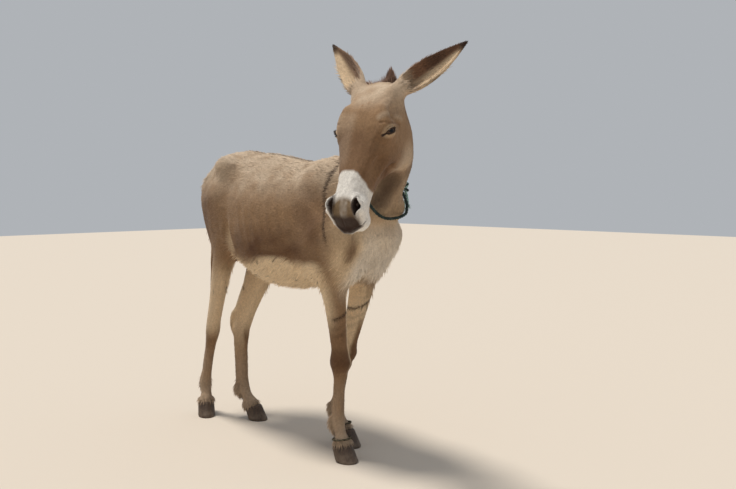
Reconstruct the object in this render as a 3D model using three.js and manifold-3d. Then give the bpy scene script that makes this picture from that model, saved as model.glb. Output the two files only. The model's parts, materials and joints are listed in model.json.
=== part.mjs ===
// A standing donkey, life size, as a still model. Millimetres, +Z up, +X the way the body faces,
// +Y the donkey's left. The body is one smooth field of solids of named sizes, turned into faceted
// meshes region by region and parted by thin flat cuts into the nodes a modeller would expect.
import * as THREE from "three";
import Module from "manifold-3d";

const wasm = await Module();
wasm.setup();
const { Manifold, Mesh } = wasm;
const group = new THREE.Group();

// ---------- driving dimensions ----------
const GAP = 0.3; // between two nodes that touch in life
const SOLE_HEIGHT = 0; // every hoof stands on the floor at this level

// Heights and lengths along the barrel: x, top line, under line, half width, how far the section
// narrows towards the top (egg).
const BARREL = [
  [-428, 915, 850, 30, 0.0],
  [-400, 965, 770, 82, 0.0],
  [-345, 1030, 715, 126, 0.02],
  [-270, 1053, 668, 152, 0.05],
  [-190, 1055, 632, 164, 0.08],
  [-110, 1044, 590, 178, 0.12],
  [-20, 1037, 556, 194, 0.14],
  [70, 1022, 546, 197, 0.16],
  [160, 1007, 552, 182, 0.2],
  [240, 1008, 568, 158, 0.3],
  [310, 1003, 590, 138, 0.38],
  [390, 945, 630, 122, 0.2],
  [460, 870, 672, 98, 0.05],
  [510, 800, 715, 52, 0.0],
];

// Neck: x, y, z of the middle, half depth from crest to throat, half width.
const NECK = [
  [330, 0, 852, 150, 94],
  [398, -2, 890, 138, 84],
  [480, -4, 958, 134, 76],
  [558, -30, 1028, 128, 70],
  [612, -84, 1092, 112, 61],
  [644, -140, 1146, 94, 56],
];

// The head turns to the donkey's right: turn from the body's line, and lean of the face from the
// vertical. Its own frame is u down the face from the poll, v to the donkey's left, w out of the face.
const POLL = [661, -197, 1222];
const HEAD_TURN = -78;
const FACE_LEAN = 26;
const EYE_RADIUS = 20;
const EYE_AT = [157, 79, -36];

// Head along u: front line, jaw line, half width at the front, half width at the jaw.
const SKULL = [
  [-18, -52, -92, 36, 34],
  [8, -26, -126, 62, 48],
  [46, -6, -162, 81, 54],
  [88, 6, -192, 87, 56],
  [130, 9, -208, 91, 56],
  [172, 4, -206, 90, 53],
  [210, -3, -184, 83, 48],
  [252, -8, -155, 71, 43],
  [298, -11, -134, 58, 39],
  [345, -12, -126, 52, 39],
  [382, -15, -128, 56, 42],
  [410, -26, -128, 55, 39],
  [430, -44, -118, 43, 31],
  [442, -70, -98, 20, 18],
];

// Each leg: the joints from the top down, and the way its lower part faces, in degrees.
const LEGS = {
  fore_right: {
    turn: 0,
    joints: [[400, -104, 770], [342, -68, 600], [360, -46, 334], [352, -47, 128], [368, -46, 58]],
    hoof: [388, -45],
  },
  fore_left: {
    turn: 4,
    joints: [[400, 108, 770], [328, 90, 600], [258, 78, 330], [214, 72, 126], [244, 72, 58]],
    hoof: [278, 73],
  },
  hind_right: {
    turn: -26,
    joints: [[-285, -92, 860], [-232, -104, 668], [-368, -64, 356], [-430, -58, 126], [-414, -66, 58]],
    hoof: [-396, -76],
  },
  hind_left: {
    turn: 20,
    joints: [[-285, 92, 860], [-214, 100, 668], [-340, 50, 352], [-276, 16, 124], [-244, 28, 58]],
    hoof: [-214, 38],
  },
};

// Sections down a leg: place (joint number and share of the way to the next), shift forward,
// half depth fore and aft, half width.
const FORE_SECTIONS = [
  [0.0, 0, 84, 52],
  [0.5, -6, 84, 48],
  [1.0, 0, 60, 42],
  [1.22, 4, 50, 37],
  [1.5, 4, 41, 32],
  [1.78, 2, 32, 29],
  [1.93, 2, 32, 33],
  [2.05, 2, 33, 35],
  [2.17, 0, 28, 29],
  [2.32, -2, 23, 20],
  [2.6, -2, 22, 18],
  [2.85, -3, 23, 19],
  [3.0, -4, 28, 24],
  [3.35, -2, 22, 20],
  [3.7, 0, 22, 21],
  [4.0, 2, 29, 28],
];
const HIND_SECTIONS = [
  [0.0, 0, 128, 62],
  [0.5, -4, 122, 60],
  [0.85, 2, 98, 52],
  [1.05, 2, 84, 46],
  [1.25, -6, 69, 41],
  [1.5, -6, 56, 35],
  [1.75, -8, 50, 30],
  [1.92, -2, 44, 29],
  [2.02, -2, 43, 30],
  [2.14, 0, 36, 27],
  [2.32, -5, 32, 21],
  [2.62, -5, 30, 19],
  [2.86, -6, 29, 21],
  [3.0, -4, 30, 25],
  [3.35, -2, 23, 21],
  [3.7, 0, 23, 22],
  [4.0, 2, 30, 29],
];

// Hoof: height, half length and half width at the floor and at the coronet.
const FORE_HOOF = { height: 50, sole: [46, 37], coronet: [34, 30], back: 26 };
const HIND_HOOF = { height: 50, sole: [44, 34], coronet: [33, 29], back: 22 };

// Ears: length, and half width and half depth of the shell along it.
const EAR_LENGTH = 255;
const EAR_SHELL = 7; // thickness of the shell with its coat
const EAR_SECTIONS = [
  [0.0, 25, 27],
  [0.12, 30, 28],
  [0.3, 38, 24],
  [0.48, 38, 19],
  [0.66, 31, 15],
  [0.82, 20, 11],
  [0.94, 10, 8],
  [1.0, 5, 6],
];
// Root of each ear and the way it points, as u, v, w of the head, and the way its hollow faces.
const EARS = {
  ear_left: { root: [16, 61, -44], tip: [-0.73, 0.7, -0.16], hollow: [0.05, 0.55, 0.9] },
  ear_right: { root: [16, -61, -44], tip: [-0.76, -0.63, 0.01], hollow: [0.2, -0.1, 0.9] },
};

const ROPE = 5; // half the collar rope's thickness
const HOBBLE = 3.5; // half the hobble cord's thickness

// ---------- small vector helpers ----------
const V = (a) => new THREE.Vector3(...a);
const rad = THREE.MathUtils.degToRad;
const mix = (a, b, t) => a + (b - a) * t;
const clamp = (x, a, b) => Math.min(b, Math.max(a, x));

// Smooth curve through a table of rows at a place given by its first column.
function smoothRow(table, at) {
  const n = table.length;
  let i = 0;
  while (i < n - 2 && table[i + 1][0] <= at) i++;
  const span = table[i + 1][0] - table[i][0];
  const t = clamp((at - table[i][0]) / span, 0, 1);
  const slope = (j, k) => {
    const a = table[Math.max(j - 1, 0)], b = table[Math.min(j + 1, n - 1)];
    return (b[k] - a[k]) / (b[0] - a[0]);
  };
  const row = [];
  for (let k = 1; k < table[0].length; k++) {
    const p = table[i][k], q = table[i + 1][k];
    const m = slope(i, k) * span, o = slope(i + 1, k) * span;
    const t2 = t * t, t3 = t2 * t;
    row.push((2 * t3 - 3 * t2 + 1) * p + (t3 - 2 * t2 + t) * m + (3 * t2 - 2 * t3) * q + (t3 - t2) * o);
  }
  return row;
}

// The same table drawn out into many rows, for lofts made of short pieces.
function drawnOut(rows, pieces) {
  const keyed = rows.map((r, i) => [i, ...r]);
  const out = [];
  for (let i = 0; i <= (rows.length - 1) * pieces; i++) out.push(smoothRow(keyed, i / pieces));
  return out;
}

// ---------- the field ----------
// A solid is { lo, hi, at(x, y, z) }: at() is about the distance to its surface, negative inside.
// blend() joins two distances with a fillet of size k.
const blend = (a, b, k) => {
  const h = Math.max(k - Math.abs(a - b), 0) / k;
  return Math.min(a, b) - h * h * k * 0.25;
};
const carve = (a, b, k) => -blend(-a, b, k); // a with b taken out

// Distance to an ellipsoid at the origin, given the point in its own axes.
function ovalDistance(x, y, z, a, b, c) {
  const k0 = Math.hypot(x / a, y / b, z / c);
  const k1 = Math.hypot(x / (a * a), y / (b * b), z / (c * c));
  return k1 < 1e-9 ? -Math.min(a, b, c) : (k0 * (k0 - 1)) / k1;
}

// An ellipsoid with half sizes r about a middle c, in any frame of three axes.
function oval(c, r, axes = [[1, 0, 0], [0, 1, 0], [0, 0, 1]]) {
  const reach = Math.max(...r);
  const [p, q, s] = axes;
  return {
    lo: c.map((v) => v - reach),
    hi: c.map((v) => v + reach),
    at(x, y, z) {
      const dx = x - c[0], dy = y - c[1], dz = z - c[2];
      return ovalDistance(
        dx * p[0] + dy * p[1] + dz * p[2],
        dx * q[0] + dy * q[1] + dz * q[2],
        dx * s[0] + dy * s[1] + dz * s[2],
        ...r,
      );
    },
  };
}

// A loft along a line of rows [x, y, z, half depth, half width], flat side turned by `front`.
function loft(rows, front) {
  const pieces = [];
  for (let i = 0; i < rows.length - 1; i++) {
    const a = rows[i], b = rows[i + 1];
    const axis = new THREE.Vector3(b[0] - a[0], b[1] - a[1], b[2] - a[2]);
    const long = axis.length();
    axis.normalize();
    const f = front.clone().addScaledVector(axis, -front.dot(axis)).normalize();
    const s = new THREE.Vector3().crossVectors(axis, f);
    pieces.push({ a, b, long, axis, f, s });
  }
  const reach = rows.map((r) => Math.max(r[3], r[4]));
  const side = (k, sign) => rows.map((r, i) => r[k] + sign * reach[i]);
  return {
    lo: [0, 1, 2].map((k) => Math.min(...side(k, -1))),
    hi: [0, 1, 2].map((k) => Math.max(...side(k, 1))),
    at(x, y, z) {
      let best = 1e9;
      for (const { a, b, long, axis, f, s } of pieces) {
        const dx = x - a[0], dy = y - a[1], dz = z - a[2];
        const along = dx * axis.x + dy * axis.y + dz * axis.z;
        const t = clamp(along / long, 0, 1);
        const depth = a[3] + (b[3] - a[3]) * t, width = a[4] + (b[4] - a[4]) * t;
        best = Math.min(best, ovalDistance(
          along - t * long,
          dx * f.x + dy * f.y + dz * f.z,
          dx * s.x + dy * s.y + dz * s.z,
          Math.min(depth, width), depth, width,
        ));
      }
      return best;
    },
  };
}

// Distance that skips the sum where the point is far from the solid's box.
function near(solid, x, y, z, margin) {
  const gx = Math.max(solid.lo[0] - x, x - solid.hi[0], 0);
  const gy = Math.max(solid.lo[1] - y, y - solid.hi[1], 0);
  const gz = Math.max(solid.lo[2] - z, z - solid.hi[2], 0);
  const away = Math.hypot(gx, gy, gz);
  return away > margin ? away : solid.at(x, y, z);
}

// ---------- barrel, neck and legs ----------
const barrel = {
  lo: [BARREL[0][0], -205, 540],
  hi: [BARREL[BARREL.length - 1][0], 205, 1062],
  at(x, y, z) {
    const inside = clamp(x, this.lo[0], this.hi[0]);
    const [top, under, wide, egg] = smoothRow(BARREL, inside);
    const half = (top - under) / 2, up = z - (top + under) / 2;
    const width = wide * (1 - egg * clamp(up / half, -1, 1));
    return ovalDistance(x - inside, y, up, Math.min(width, half), width, half);
  },
};

const neck = loft(drawnOut(NECK, 4), new THREE.Vector3(0.72, -0.1, -0.6));

function legRows({ joints, turn }, sections) {
  const heading = new THREE.Vector3(Math.cos(rad(turn)), Math.sin(rad(turn)), 0);
  return sections.map(([place, shift, depth, width]) => {
    const i = Math.min(Math.floor(place), joints.length - 2);
    const p = V(joints[i]).lerp(V(joints[i + 1]), place - i).addScaledVector(heading, shift);
    return [p.x, p.y, p.z, depth, width];
  });
}
const legSolids = {};
for (const [name, leg] of Object.entries(LEGS)) {
  const heading = new THREE.Vector3(Math.cos(rad(leg.turn)), Math.sin(rad(leg.turn)), 0);
  const rows = drawnOut(legRows(leg, name.startsWith("fore") ? FORE_SECTIONS : HIND_SECTIONS), 3);
  legSolids[name] = loft(rows, heading);
}

// Bony points and muscles that show under the coat, on both sides: middle, half sizes, fillet.
const LANDMARKS = [
  [[-196, 118, 992], [46, 34, 34], 70], // point of the hip
  [[-396, 58, 905], [34, 34, 50], 60], // point of the buttock
  [[310, 92, 870], [84, 40, 120], 80], // shoulder blade
  [[440, 84, 744], [54, 48, 58], 66], // point of the shoulder
  [[325, 100, 700], [74, 40, 80], 60], // upper arm muscle
  [[470, 34, 733], [46, 40, 62], 50], // breast muscle
  [[532, 40, 838], [34, 26, 34], 34], // throat above the breast
  [[400, 48, 640], [60, 38, 52], 50], // chest between the forelegs
];
const landmarks = LANDMARKS.flatMap(([c, r, fillet]) => [
  { solid: oval(c, r), fillet },
  { solid: oval([c[0], -c[1], c[2]], r), fillet },
]);
// Point of the hock and the ergot tuft's swelling behind each fetlock.
const heels = Object.entries(LEGS).flatMap(([name, leg]) => {
  const t = rad(leg.turn), ahead = [Math.cos(t), Math.sin(t)];
  const place = (j, back, up) => [
    leg.joints[j][0] - ahead[0] * back, leg.joints[j][1] - ahead[1] * back, leg.joints[j][2] + up];
  const axes = [[ahead[0], ahead[1], 0], [-ahead[1], ahead[0], 0], [0, 0, 1]];
  const made = [{ solid: oval(place(3, 20, -12), [17, 15, 20], axes), fillet: 16 }];
  if (name.startsWith("hind"))
    made.push({ solid: oval(place(2, 34, 26), [18, 14, 36], axes), fillet: 26 });
  else made.push({ solid: oval(place(2, 22, -8), [14, 20, 24], axes), fillet: 20 });
  return made;
});

// ---------- head ----------
const turned = rad(HEAD_TURN), lean = rad(FACE_LEAN);
const facing = new THREE.Vector3(Math.cos(turned), Math.sin(turned), 0);
const UP = new THREE.Vector3(0, 0, 1);
const U = facing.clone().multiplyScalar(Math.sin(lean)).addScaledVector(UP, -Math.cos(lean));
const W = facing.clone().multiplyScalar(Math.cos(lean)).addScaledVector(UP, Math.sin(lean));
const L = new THREE.Vector3().crossVectors(UP, facing);
const poll = V(POLL);
const onHead = ([u, v, w]) =>
  poll.clone().addScaledVector(U, u).addScaledVector(L, v).addScaledVector(W, w);
const headWay = ([u, v, w]) =>
  new THREE.Vector3().addScaledVector(U, u).addScaledVector(L, v).addScaledVector(W, w).normalize();

// The skull and its flesh: oval sections along u, wide at the front and narrower at the jaw.
function skullAt(u, v, w) {
  const inside = clamp(u, SKULL[0][0], SKULL[SKULL.length - 1][0]);
  const [front, jaw, wide, low] = smoothRow(SKULL, inside);
  const half = (front - jaw) / 2, up = w - (front + jaw) / 2;
  const s = clamp(up / half, -1, 1);
  const width = s > 0.35 ? wide : mix(low, wide, THREE.MathUtils.smoothstep(s, -0.9, 0.35));
  // a little squarer than an ellipse, and flat across the forehead and the nose
  const flat = THREE.MathUtils.smoothstep(s, 0.1, 0.6) * (1 - THREE.MathUtils.smoothstep(u, 270, 330));
  const square = mix(2.3, 3.1, flat);
  const k = Math.pow(
    Math.pow(Math.abs(v) / width, square) + Math.pow(Math.abs(up) / half, square), 1 / square);
  const off = Math.abs(u - inside);
  const r = Math.min(width, half);
  return Math.hypot(Math.max(k, 0.02), off / r) * r - r;
}
// Parts of the head on both sides of v: middle, half sizes, tilt about v, fillet. Plain ones add flesh.
const FLESH = [
  [[152, 66, -32], [36, 25, 27], 0, 22], // socket and lids
  [[122, 62, -8], [38, 22, 12], -14, 22], // brow over the eye
  [[140, 49, -128], [70, 15, 66], 0, 40], // cheek muscle
  [[210, 58, -74], [56, 9, 10], 10, 24], // crest of the cheekbone
  [[392, 46, -38], [27, 19, 28], 20, 22], // wing of the nostril
  [[415, 13, -78], [25, 34, 30], 0, 26], // upper lip
  [[402, 11, -120], [27, 27, 17], 0, 20], // chin
  [[28, 58, -48], [28, 28, 28], 0, 26], // root of the ear
];
const HOLLOWS = [
  [[97, 77, -34], [19, 8, 12], 0, 16], // hollow behind the brow
  [[282, 64, -46], [52, 11, 15], 8, 26], // hollow of the cheek beside the nose
  [[399, 56, -22], [15, 9, 11], 24, 6], // nostril
  [[245, 51, -124], [40, 9, 20], 0, 22], // hollow before the cheek muscle
];
const tilted = (list) => list.map(([c, r, tilt, fillet]) => {
  const t = rad(tilt);
  const axes = [[Math.cos(t), 0, Math.sin(t)], [0, 1, 0], [-Math.sin(t), 0, Math.cos(t)]];
  return { solid: oval(c, r, axes), fillet };
});
const flesh = tilted(FLESH), hollows = tilted(HOLLOWS);

const headBox = { lo: [-40, -110, -240], hi: [500, 110, 40] };
function headAt(u, v, w) {
  const away = near({ ...headBox, at: () => 0 }, u, v, w, 40);
  if (away > 40) return away;
  let d = skullAt(u, v, w);
  const side = Math.abs(v);
  for (const { solid, fillet } of flesh) d = blend(d, near(solid, u, side, w, fillet + 20), fillet);
  for (const { solid, fillet } of hollows) d = carve(d, near(solid, u, side, w, fillet + 20), fillet);
  return d;
}

// An ear: a leaf-shaped shell, hollow on one side, closed to a tube at its root.
function earSolid({ root, tip, hollow }) {
  const start = onHead(root), along = headWay(tip);
  const open = headWay(hollow).addScaledVector(along, -headWay(hollow).dot(along)).normalize();
  const across = new THREE.Vector3().crossVectors(along, open);
  const sections = EAR_SECTIONS;
  const end = start.clone().addScaledVector(along, EAR_LENGTH);
  const reach = 42;
  return {
    start, along, open, across,
    lo: [0, 1, 2].map((k) => Math.min(start.getComponent(k), end.getComponent(k)) - reach),
    hi: [0, 1, 2].map((k) => Math.max(start.getComponent(k), end.getComponent(k)) + reach),
    at(x, y, z) {
      const dx = x - start.x, dy = y - start.y, dz = z - start.z;
      const p = dx * along.x + dy * along.y + dz * along.z;
      const s = dx * across.x + dy * across.y + dz * across.z;
      const t = clamp(p / EAR_LENGTH, 0, 1);
      const lift = 10 * Math.sin(Math.PI * t); // the ear curves a little towards its hollow
      const o = dx * open.x + dy * open.y + dz * open.z + lift;
      const [wide, deep] = smoothRow(sections, t);
      const outer = ovalDistance(p - t * EAR_LENGTH, s, o, Math.min(wide, deep), wide, deep);
      const rim = wide - EAR_SHELL, floor = deep - EAR_SHELL;
      if (rim < 3 || floor < 2) return outer;
      const shift = deep * 0.62;
      const bowl = ovalDistance(0, s, o - shift, 1e3, rim, floor + shift * 0.72);
      const shut = (0.15 - t) * EAR_LENGTH; // no hollow below this share of the ear
      const point = (t - 0.93) * EAR_LENGTH; // nor at its very tip
      return carve(outer, Math.max(bowl, shut, point), 5);
    },
  };
}
const ears = Object.fromEntries(Object.entries(EARS).map(([name, e]) => [name, earSolid(e)]));
const eyeMiddle = (side) => onHead([EYE_AT[0], side * EYE_AT[1], EYE_AT[2]]);
const eyes = { eye_left: eyeMiddle(1), eye_right: eyeMiddle(-1) };

// ---------- the whole body ----------
function bodyAt(x, y, z, earStub = 1e9) {
  let d = near(barrel, x, y, z, 120);
  for (const { solid, fillet } of landmarks) d = blend(d, near(solid, x, y, z, fillet + 30), fillet);
  let legs = 1e9;
  for (const solid of Object.values(legSolids)) legs = Math.min(legs, near(solid, x, y, z, 80));
  for (const { solid, fillet } of heels) legs = blend(legs, near(solid, x, y, z, fillet + 20), fillet);
  d = blend(d, legs, 46);
  d = blend(d, near(neck, x, y, z, 120), 70);
  const px = x - poll.x, py = y - poll.y, pz = z - poll.z;
  const u = px * U.x + py * U.y + pz * U.z, v = px * L.x + py * L.y + pz * L.z;
  const head = headAt(u, v, px * W.x + py * W.y + pz * W.z);
  d = blend(d, head, 26);
  for (const ear of Object.values(ears)) {
    const up = (x - ear.start.x) * ear.along.x + (y - ear.start.y) * ear.along.y +
      (z - ear.start.z) * ear.along.z;
    d = blend(d, Math.max(near(ear, x, y, z, 40), up - earStub), 12);
  }
  return d;
}

// ---------- meshing ----------
// Samples on a grid, and a surface between them that is always closed. Blocks of cells far from
// the surface are filled from one sample.
function meshField(at, lo, hi, cell) {
  const BLOCK = 6;
  const n = [0, 1, 2].map((k) => Math.ceil((hi[k] - lo[k]) / cell / BLOCK) * BLOCK + 1);
  const index = (i, j, k) => (k * n[1] + j) * n[0] + i;
  const field = new Float32Array(n[0] * n[1] * n[2]);
  const where = (i, j, k) => [lo[0] + i * cell, lo[1] + j * cell, lo[2] + k * cell];
  for (let bk = 0; bk < n[2]; bk += BLOCK)
    for (let bj = 0; bj < n[1]; bj += BLOCK)
      for (let bi = 0; bi < n[0]; bi += BLOCK) {
        const middle = where(bi + BLOCK / 2, bj + BLOCK / 2, bk + BLOCK / 2);
        const sample = at(...middle);
        const far = Math.abs(sample) > cell * BLOCK * 1.5 + 6;
        for (let k = bk; k < Math.min(bk + BLOCK, n[2]); k++)
          for (let j = bj; j < Math.min(bj + BLOCK, n[1]); j++)
            for (let i = bi; i < Math.min(bi + BLOCK, n[0]); i++)
              field[index(i, j, k)] = far ? sample : at(...where(i, j, k));
      }
  // close the region at its box
  for (let k = 0; k < n[2]; k++)
    for (let j = 0; j < n[1]; j++)
      for (let i = 0; i < n[0]; i++)
        if (!i || !j || !k || i === n[0] - 1 || j === n[1] - 1 || k === n[2] - 1)
          field[index(i, j, k)] = Math.max(field[index(i, j, k)], cell * 0.4);
  // each cell is six tetrahedra round its long diagonal; a tetrahedron gives one or two triangles
  const offset = Array.from({ length: 8 }, (_, c) => index(c & 1, (c >> 1) & 1, (c >> 2) & 1));
  const TETS = [[0, 1, 3, 7], [0, 1, 5, 7], [0, 2, 3, 7], [0, 2, 6, 7], [0, 4, 5, 7], [0, 4, 6, 7]];
  const points = [], faces = [], known = new Map();
  const placeOf = (g) => {
    const i = g % n[0], j = Math.floor(g / n[0]) % n[1], k = Math.floor(g / (n[0] * n[1]));
    return where(i, j, k);
  };
  const crossing = (a, b) => {
    const low = Math.min(a, b), high = Math.max(a, b);
    const key = low * 8 + offset.indexOf(high - low);
    if (!known.has(key)) {
      const t = clamp(field[low] / (field[low] - field[high]), 0.06, 0.94);
      const p = placeOf(low), q = placeOf(high);
      known.set(key, points.length / 3);
      for (let m = 0; m < 3; m++) points.push(mix(p[m], q[m], t));
    }
    return known.get(key);
  };
  const facing = (a, b, c, inside, outside) => { // the triangle's front looks from inside to outside
    const [p, q, r] = [a, b, c].map((v) => points.slice(v * 3, v * 3 + 3));
    const e = q.map((v, m) => v - p[m]), g = r.map((v, m) => v - p[m]);
    const way = placeOf(outside).map((v, m) => v - placeOf(inside)[m]);
    const dot = (e[1] * g[2] - e[2] * g[1]) * way[0] + (e[2] * g[0] - e[0] * g[2]) * way[1] +
      (e[0] * g[1] - e[1] * g[0]) * way[2];
    if (dot > 0) faces.push(a, b, c);
    else faces.push(a, c, b);
  };
  for (let k = 0; k < n[2] - 1; k++)
    for (let j = 0; j < n[1] - 1; j++)
      for (let i = 0; i < n[0] - 1; i++) {
        const base = index(i, j, k);
        let count = 0;
        for (let c = 0; c < 8; c++) if (field[base + offset[c]] < 0) count++;
        if (!count || count === 8) continue;
        for (const tet of TETS) {
          const at = tet.map((c) => base + offset[c]);
          const ins = at.filter((g) => field[g] < 0), outs = at.filter((g) => field[g] >= 0);
          if (ins.length === 1 || outs.length === 1) {
            const one = ins.length === 1 ? ins[0] : outs[0];
            const [a, b, c] = (ins.length === 1 ? outs : ins).map((g) => crossing(one, g));
            facing(a, b, c, ins[0], outs[0]);
          } else if (ins.length === 2) {
            const [a, b, c, d] = [[0, 0], [0, 1], [1, 1], [1, 0]]
              .map(([p, q]) => crossing(ins[p], outs[q]));
            facing(a, b, c, ins[0], outs[1]);
            facing(a, c, d, ins[1], outs[0]);
          }
        }
      }
  return { points, faces };
}

// Edge collapse that keeps the surface closed and takes out the flattest places first.
function simplify({ points, faces }, wanted, evenness = 0.004) {
  const count = points.length / 3;
  const P = Float64Array.from(points), Q = new Float64Array(count * 10);
  const F = Int32Array.from(faces);
  const touching = Array.from({ length: count }, () => new Set());
  const normalOf = (a, b, c) => {
    const e = [0, 1, 2].map((k) => P[b * 3 + k] - P[a * 3 + k]);
    const g = [0, 1, 2].map((k) => P[c * 3 + k] - P[a * 3 + k]);
    return [e[1] * g[2] - e[2] * g[1], e[2] * g[0] - e[0] * g[2], e[0] * g[1] - e[1] * g[0]];
  };
  for (let t = 0; t < F.length; t += 3) {
    const m = normalOf(F[t], F[t + 1], F[t + 2]);
    const area = Math.hypot(...m) || 1;
    const [x, y, z] = m.map((v) => v / area);
    const o = -(x * P[F[t] * 3] + y * P[F[t] * 3 + 1] + z * P[F[t] * 3 + 2]);
    const q = [x * x, x * y, x * z, x * o, y * y, y * z, y * o, z * z, z * o, o * o];
    for (let c = 0; c < 3; c++) {
      touching[F[t + c]].add(t);
      for (let k = 0; k < 10; k++) Q[F[t + c] * 10 + k] += (q[k] * area) / 2;
    }
  }
  const age = new Int32Array(count);
  const heap = [];
  const push = (item) => {
    let i = heap.push(item) - 1;
    while (i && heap[(i - 1) >> 1].cost > item.cost) {
      heap[i] = heap[(i - 1) >> 1];
      i = (i - 1) >> 1;
    }
    heap[i] = item;
  };
  const pop = () => {
    const top = heap[0], last = heap.pop();
    if (!heap.length) return top;
    let i = 0;
    for (;;) {
      let c = 2 * i + 1;
      if (c >= heap.length) break;
      if (c + 1 < heap.length && heap[c + 1].cost < heap[c].cost) c++;
      if (heap[c].cost >= last.cost) break;
      heap[i] = heap[c];
      i = c;
    }
    heap[i] = last;
    return top;
  };
  const costAt = (q, x, y, z) =>
    q[0] * x * x + 2 * q[1] * x * y + 2 * q[2] * x * z + 2 * q[3] * x + q[4] * y * y +
    2 * q[5] * y * z + 2 * q[6] * y + q[7] * z * z + 2 * q[8] * z + q[9];
  const offer = (a, b) => {
    const q = [];
    for (let k = 0; k < 10; k++) q.push(Q[a * 10 + k] + Q[b * 10 + k]);
    const mid = [0, 1, 2].map((k) => (P[a * 3 + k] + P[b * 3 + k]) / 2);
    const long = Math.hypot(...[0, 1, 2].map((k) => P[a * 3 + k] - P[b * 3 + k]));
    // solved about the middle of the edge, with a small pull towards it
    const pull = 1e-3 * (q[0] + q[4] + q[7]) + 1e-9;
    const [x0, y0, z0] = mid;
    const m = new THREE.Matrix3().set(
      q[0] + pull, q[1], q[2], q[1], q[4] + pull, q[5], q[2], q[5], q[7] + pull);
    const g = new THREE.Vector3(
      -(q[0] * x0 + q[1] * y0 + q[2] * z0 + q[3]),
      -(q[1] * x0 + q[4] * y0 + q[5] * z0 + q[6]),
      -(q[2] * x0 + q[5] * y0 + q[7] * z0 + q[8]),
    ).applyMatrix3(m.invert());
    let at = mid;
    if (g.length() < long) at = [x0 + g.x, y0 + g.y, z0 + g.z];
    const cost = Math.max(costAt(q, ...at), 0) + evenness * long * long * long * long * 1e-2;
    push({ cost, a, b, at, ages: age[a] + age[b] });
  };
  const neighbours = (v) => {
    const out = new Set();
    for (const t of touching[v]) for (let c = 0; c < 3; c++) out.add(F[t + c]);
    out.delete(v);
    return out;
  };
  for (let v = 0; v < count; v++) for (const w of neighbours(v)) if (w > v) offer(v, w);
  let left = F.length / 3;
  const flips = (v, other, at) => {
    for (const t of touching[v]) {
      const tri = [F[t], F[t + 1], F[t + 2]];
      if (tri.includes(other)) continue;
      const before = normalOf(...tri);
      const old = [0, 1, 2].map((k) => P[v * 3 + k]);
      for (let k = 0; k < 3; k++) P[v * 3 + k] = at[k];
      const after = normalOf(...tri);
      for (let k = 0; k < 3; k++) P[v * 3 + k] = old[k];
      const dot = before[0] * after[0] + before[1] * after[1] + before[2] * after[2];
      if (dot < 0.35 * Math.hypot(...before) * Math.hypot(...after)) return true;
      if (Math.hypot(...after) < 0.02) return true;
    }
    return false;
  };
  while (left > wanted && heap.length) {
    const { a, b, at, ages } = pop();
    if (!touching[a].size || !touching[b].size || ages !== age[a] + age[b]) continue;
    const na = neighbours(a), shared = [...neighbours(b)].filter((w) => na.has(w));
    if (!na.has(b) || shared.length !== 2) continue;
    if (shared.some((w) => touching[w].size <= 3)) continue;
    if (flips(a, b, at) || flips(b, a, at)) continue;
    for (let k = 0; k < 3; k++) P[a * 3 + k] = at[k];
    for (let k = 0; k < 10; k++) Q[a * 10 + k] += Q[b * 10 + k];
    for (const t of touching[b]) {
      const tri = [F[t], F[t + 1], F[t + 2]];
      if (tri.includes(a)) {
        for (const w of tri) if (w !== b) touching[w].delete(t);
        F[t] = F[t + 1] = F[t + 2] = -1;
        left--;
      } else {
        for (let c = 0; c < 3; c++) if (F[t + c] === b) F[t + c] = a;
        touching[a].add(t);
      }
    }
    touching[b].clear();
    age[a]++;
    age[b]++;
    const around = neighbours(a);
    for (const w of around) age[w]++;
    const done = new Set();
    for (const w of [a, ...around])
      for (const x of neighbours(w)) {
        const key = w < x ? w * count + x : x * count + w;
        if (done.has(key)) continue;
        done.add(key);
        offer(Math.min(w, x), Math.max(w, x));
      }
  }
  const kept = new Map();
  const out = { points: [], faces: [] };
  for (let t = 0; t < F.length; t += 3) {
    if (F[t] < 0) continue;
    for (let c = 0; c < 3; c++) {
      const v = F[t + c];
      if (!kept.has(v)) {
        kept.set(v, kept.size);
        out.points.push(P[v * 3], P[v * 3 + 1], P[v * 3 + 2]);
      }
      out.faces.push(kept.get(v));
    }
  }
  return out;
}

const solidOf = ({ points, faces }) =>
  new Manifold(new Mesh({
    numProp: 3, vertProperties: Float32Array.from(points), triVerts: Uint32Array.from(faces),
  }));
const region = (lo, hi, cell, wanted, at = bodyAt) =>
  solidOf(simplify(meshField(at, lo, hi, cell), wanted));

// ---------- cutting ----------
const fromGeometry = (geometry) => {
  const g = geometry.index ? geometry.toNonIndexed() : geometry;
  const points = [], faces = [], seen = new Map(), at = g.attributes.position;
  for (let i = 0; i < at.count; i++) {
    const xyz = [at.getX(i), at.getY(i), at.getZ(i)];
    const key = xyz.map((v) => Math.round(v * 1e4)).join();
    if (!seen.has(key)) {
      seen.set(key, seen.size);
      points.push(...xyz);
    }
    faces.push(seen.get(key));
  }
  const whole = [];
  for (let t = 0; t < faces.length; t += 3) {
    const [a, b, c] = faces.slice(t, t + 3);
    if (a !== b && b !== c && c !== a) whole.push(a, b, c);
  }
  return solidOf({ points, faces: whole });
};
const biggest = (solid) =>
  solid.decompose().reduce((a, b) => (b.volume() > a.volume() ? b : a));
// The part of a solid on the positive side of a plane, and more than half a gap from it.
const beyond = (solid, normal, offset) => {
  const n = V(normal), long = n.length();
  return biggest(solid.trimByPlane(normal, offset + (GAP / 2) * long));
};
const behind = (solid, normal, offset) =>
  beyond(solid, normal.map((v) => -v), -offset);
const box = (lo, hi) => {
  const g = new THREE.BoxGeometry(hi[0] - lo[0], hi[1] - lo[1], hi[2] - lo[2]);
  g.translate((lo[0] + hi[0]) / 2, (lo[1] + hi[1]) / 2, (lo[2] + hi[2]) / 2);
  return fromGeometry(g);
};
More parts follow.
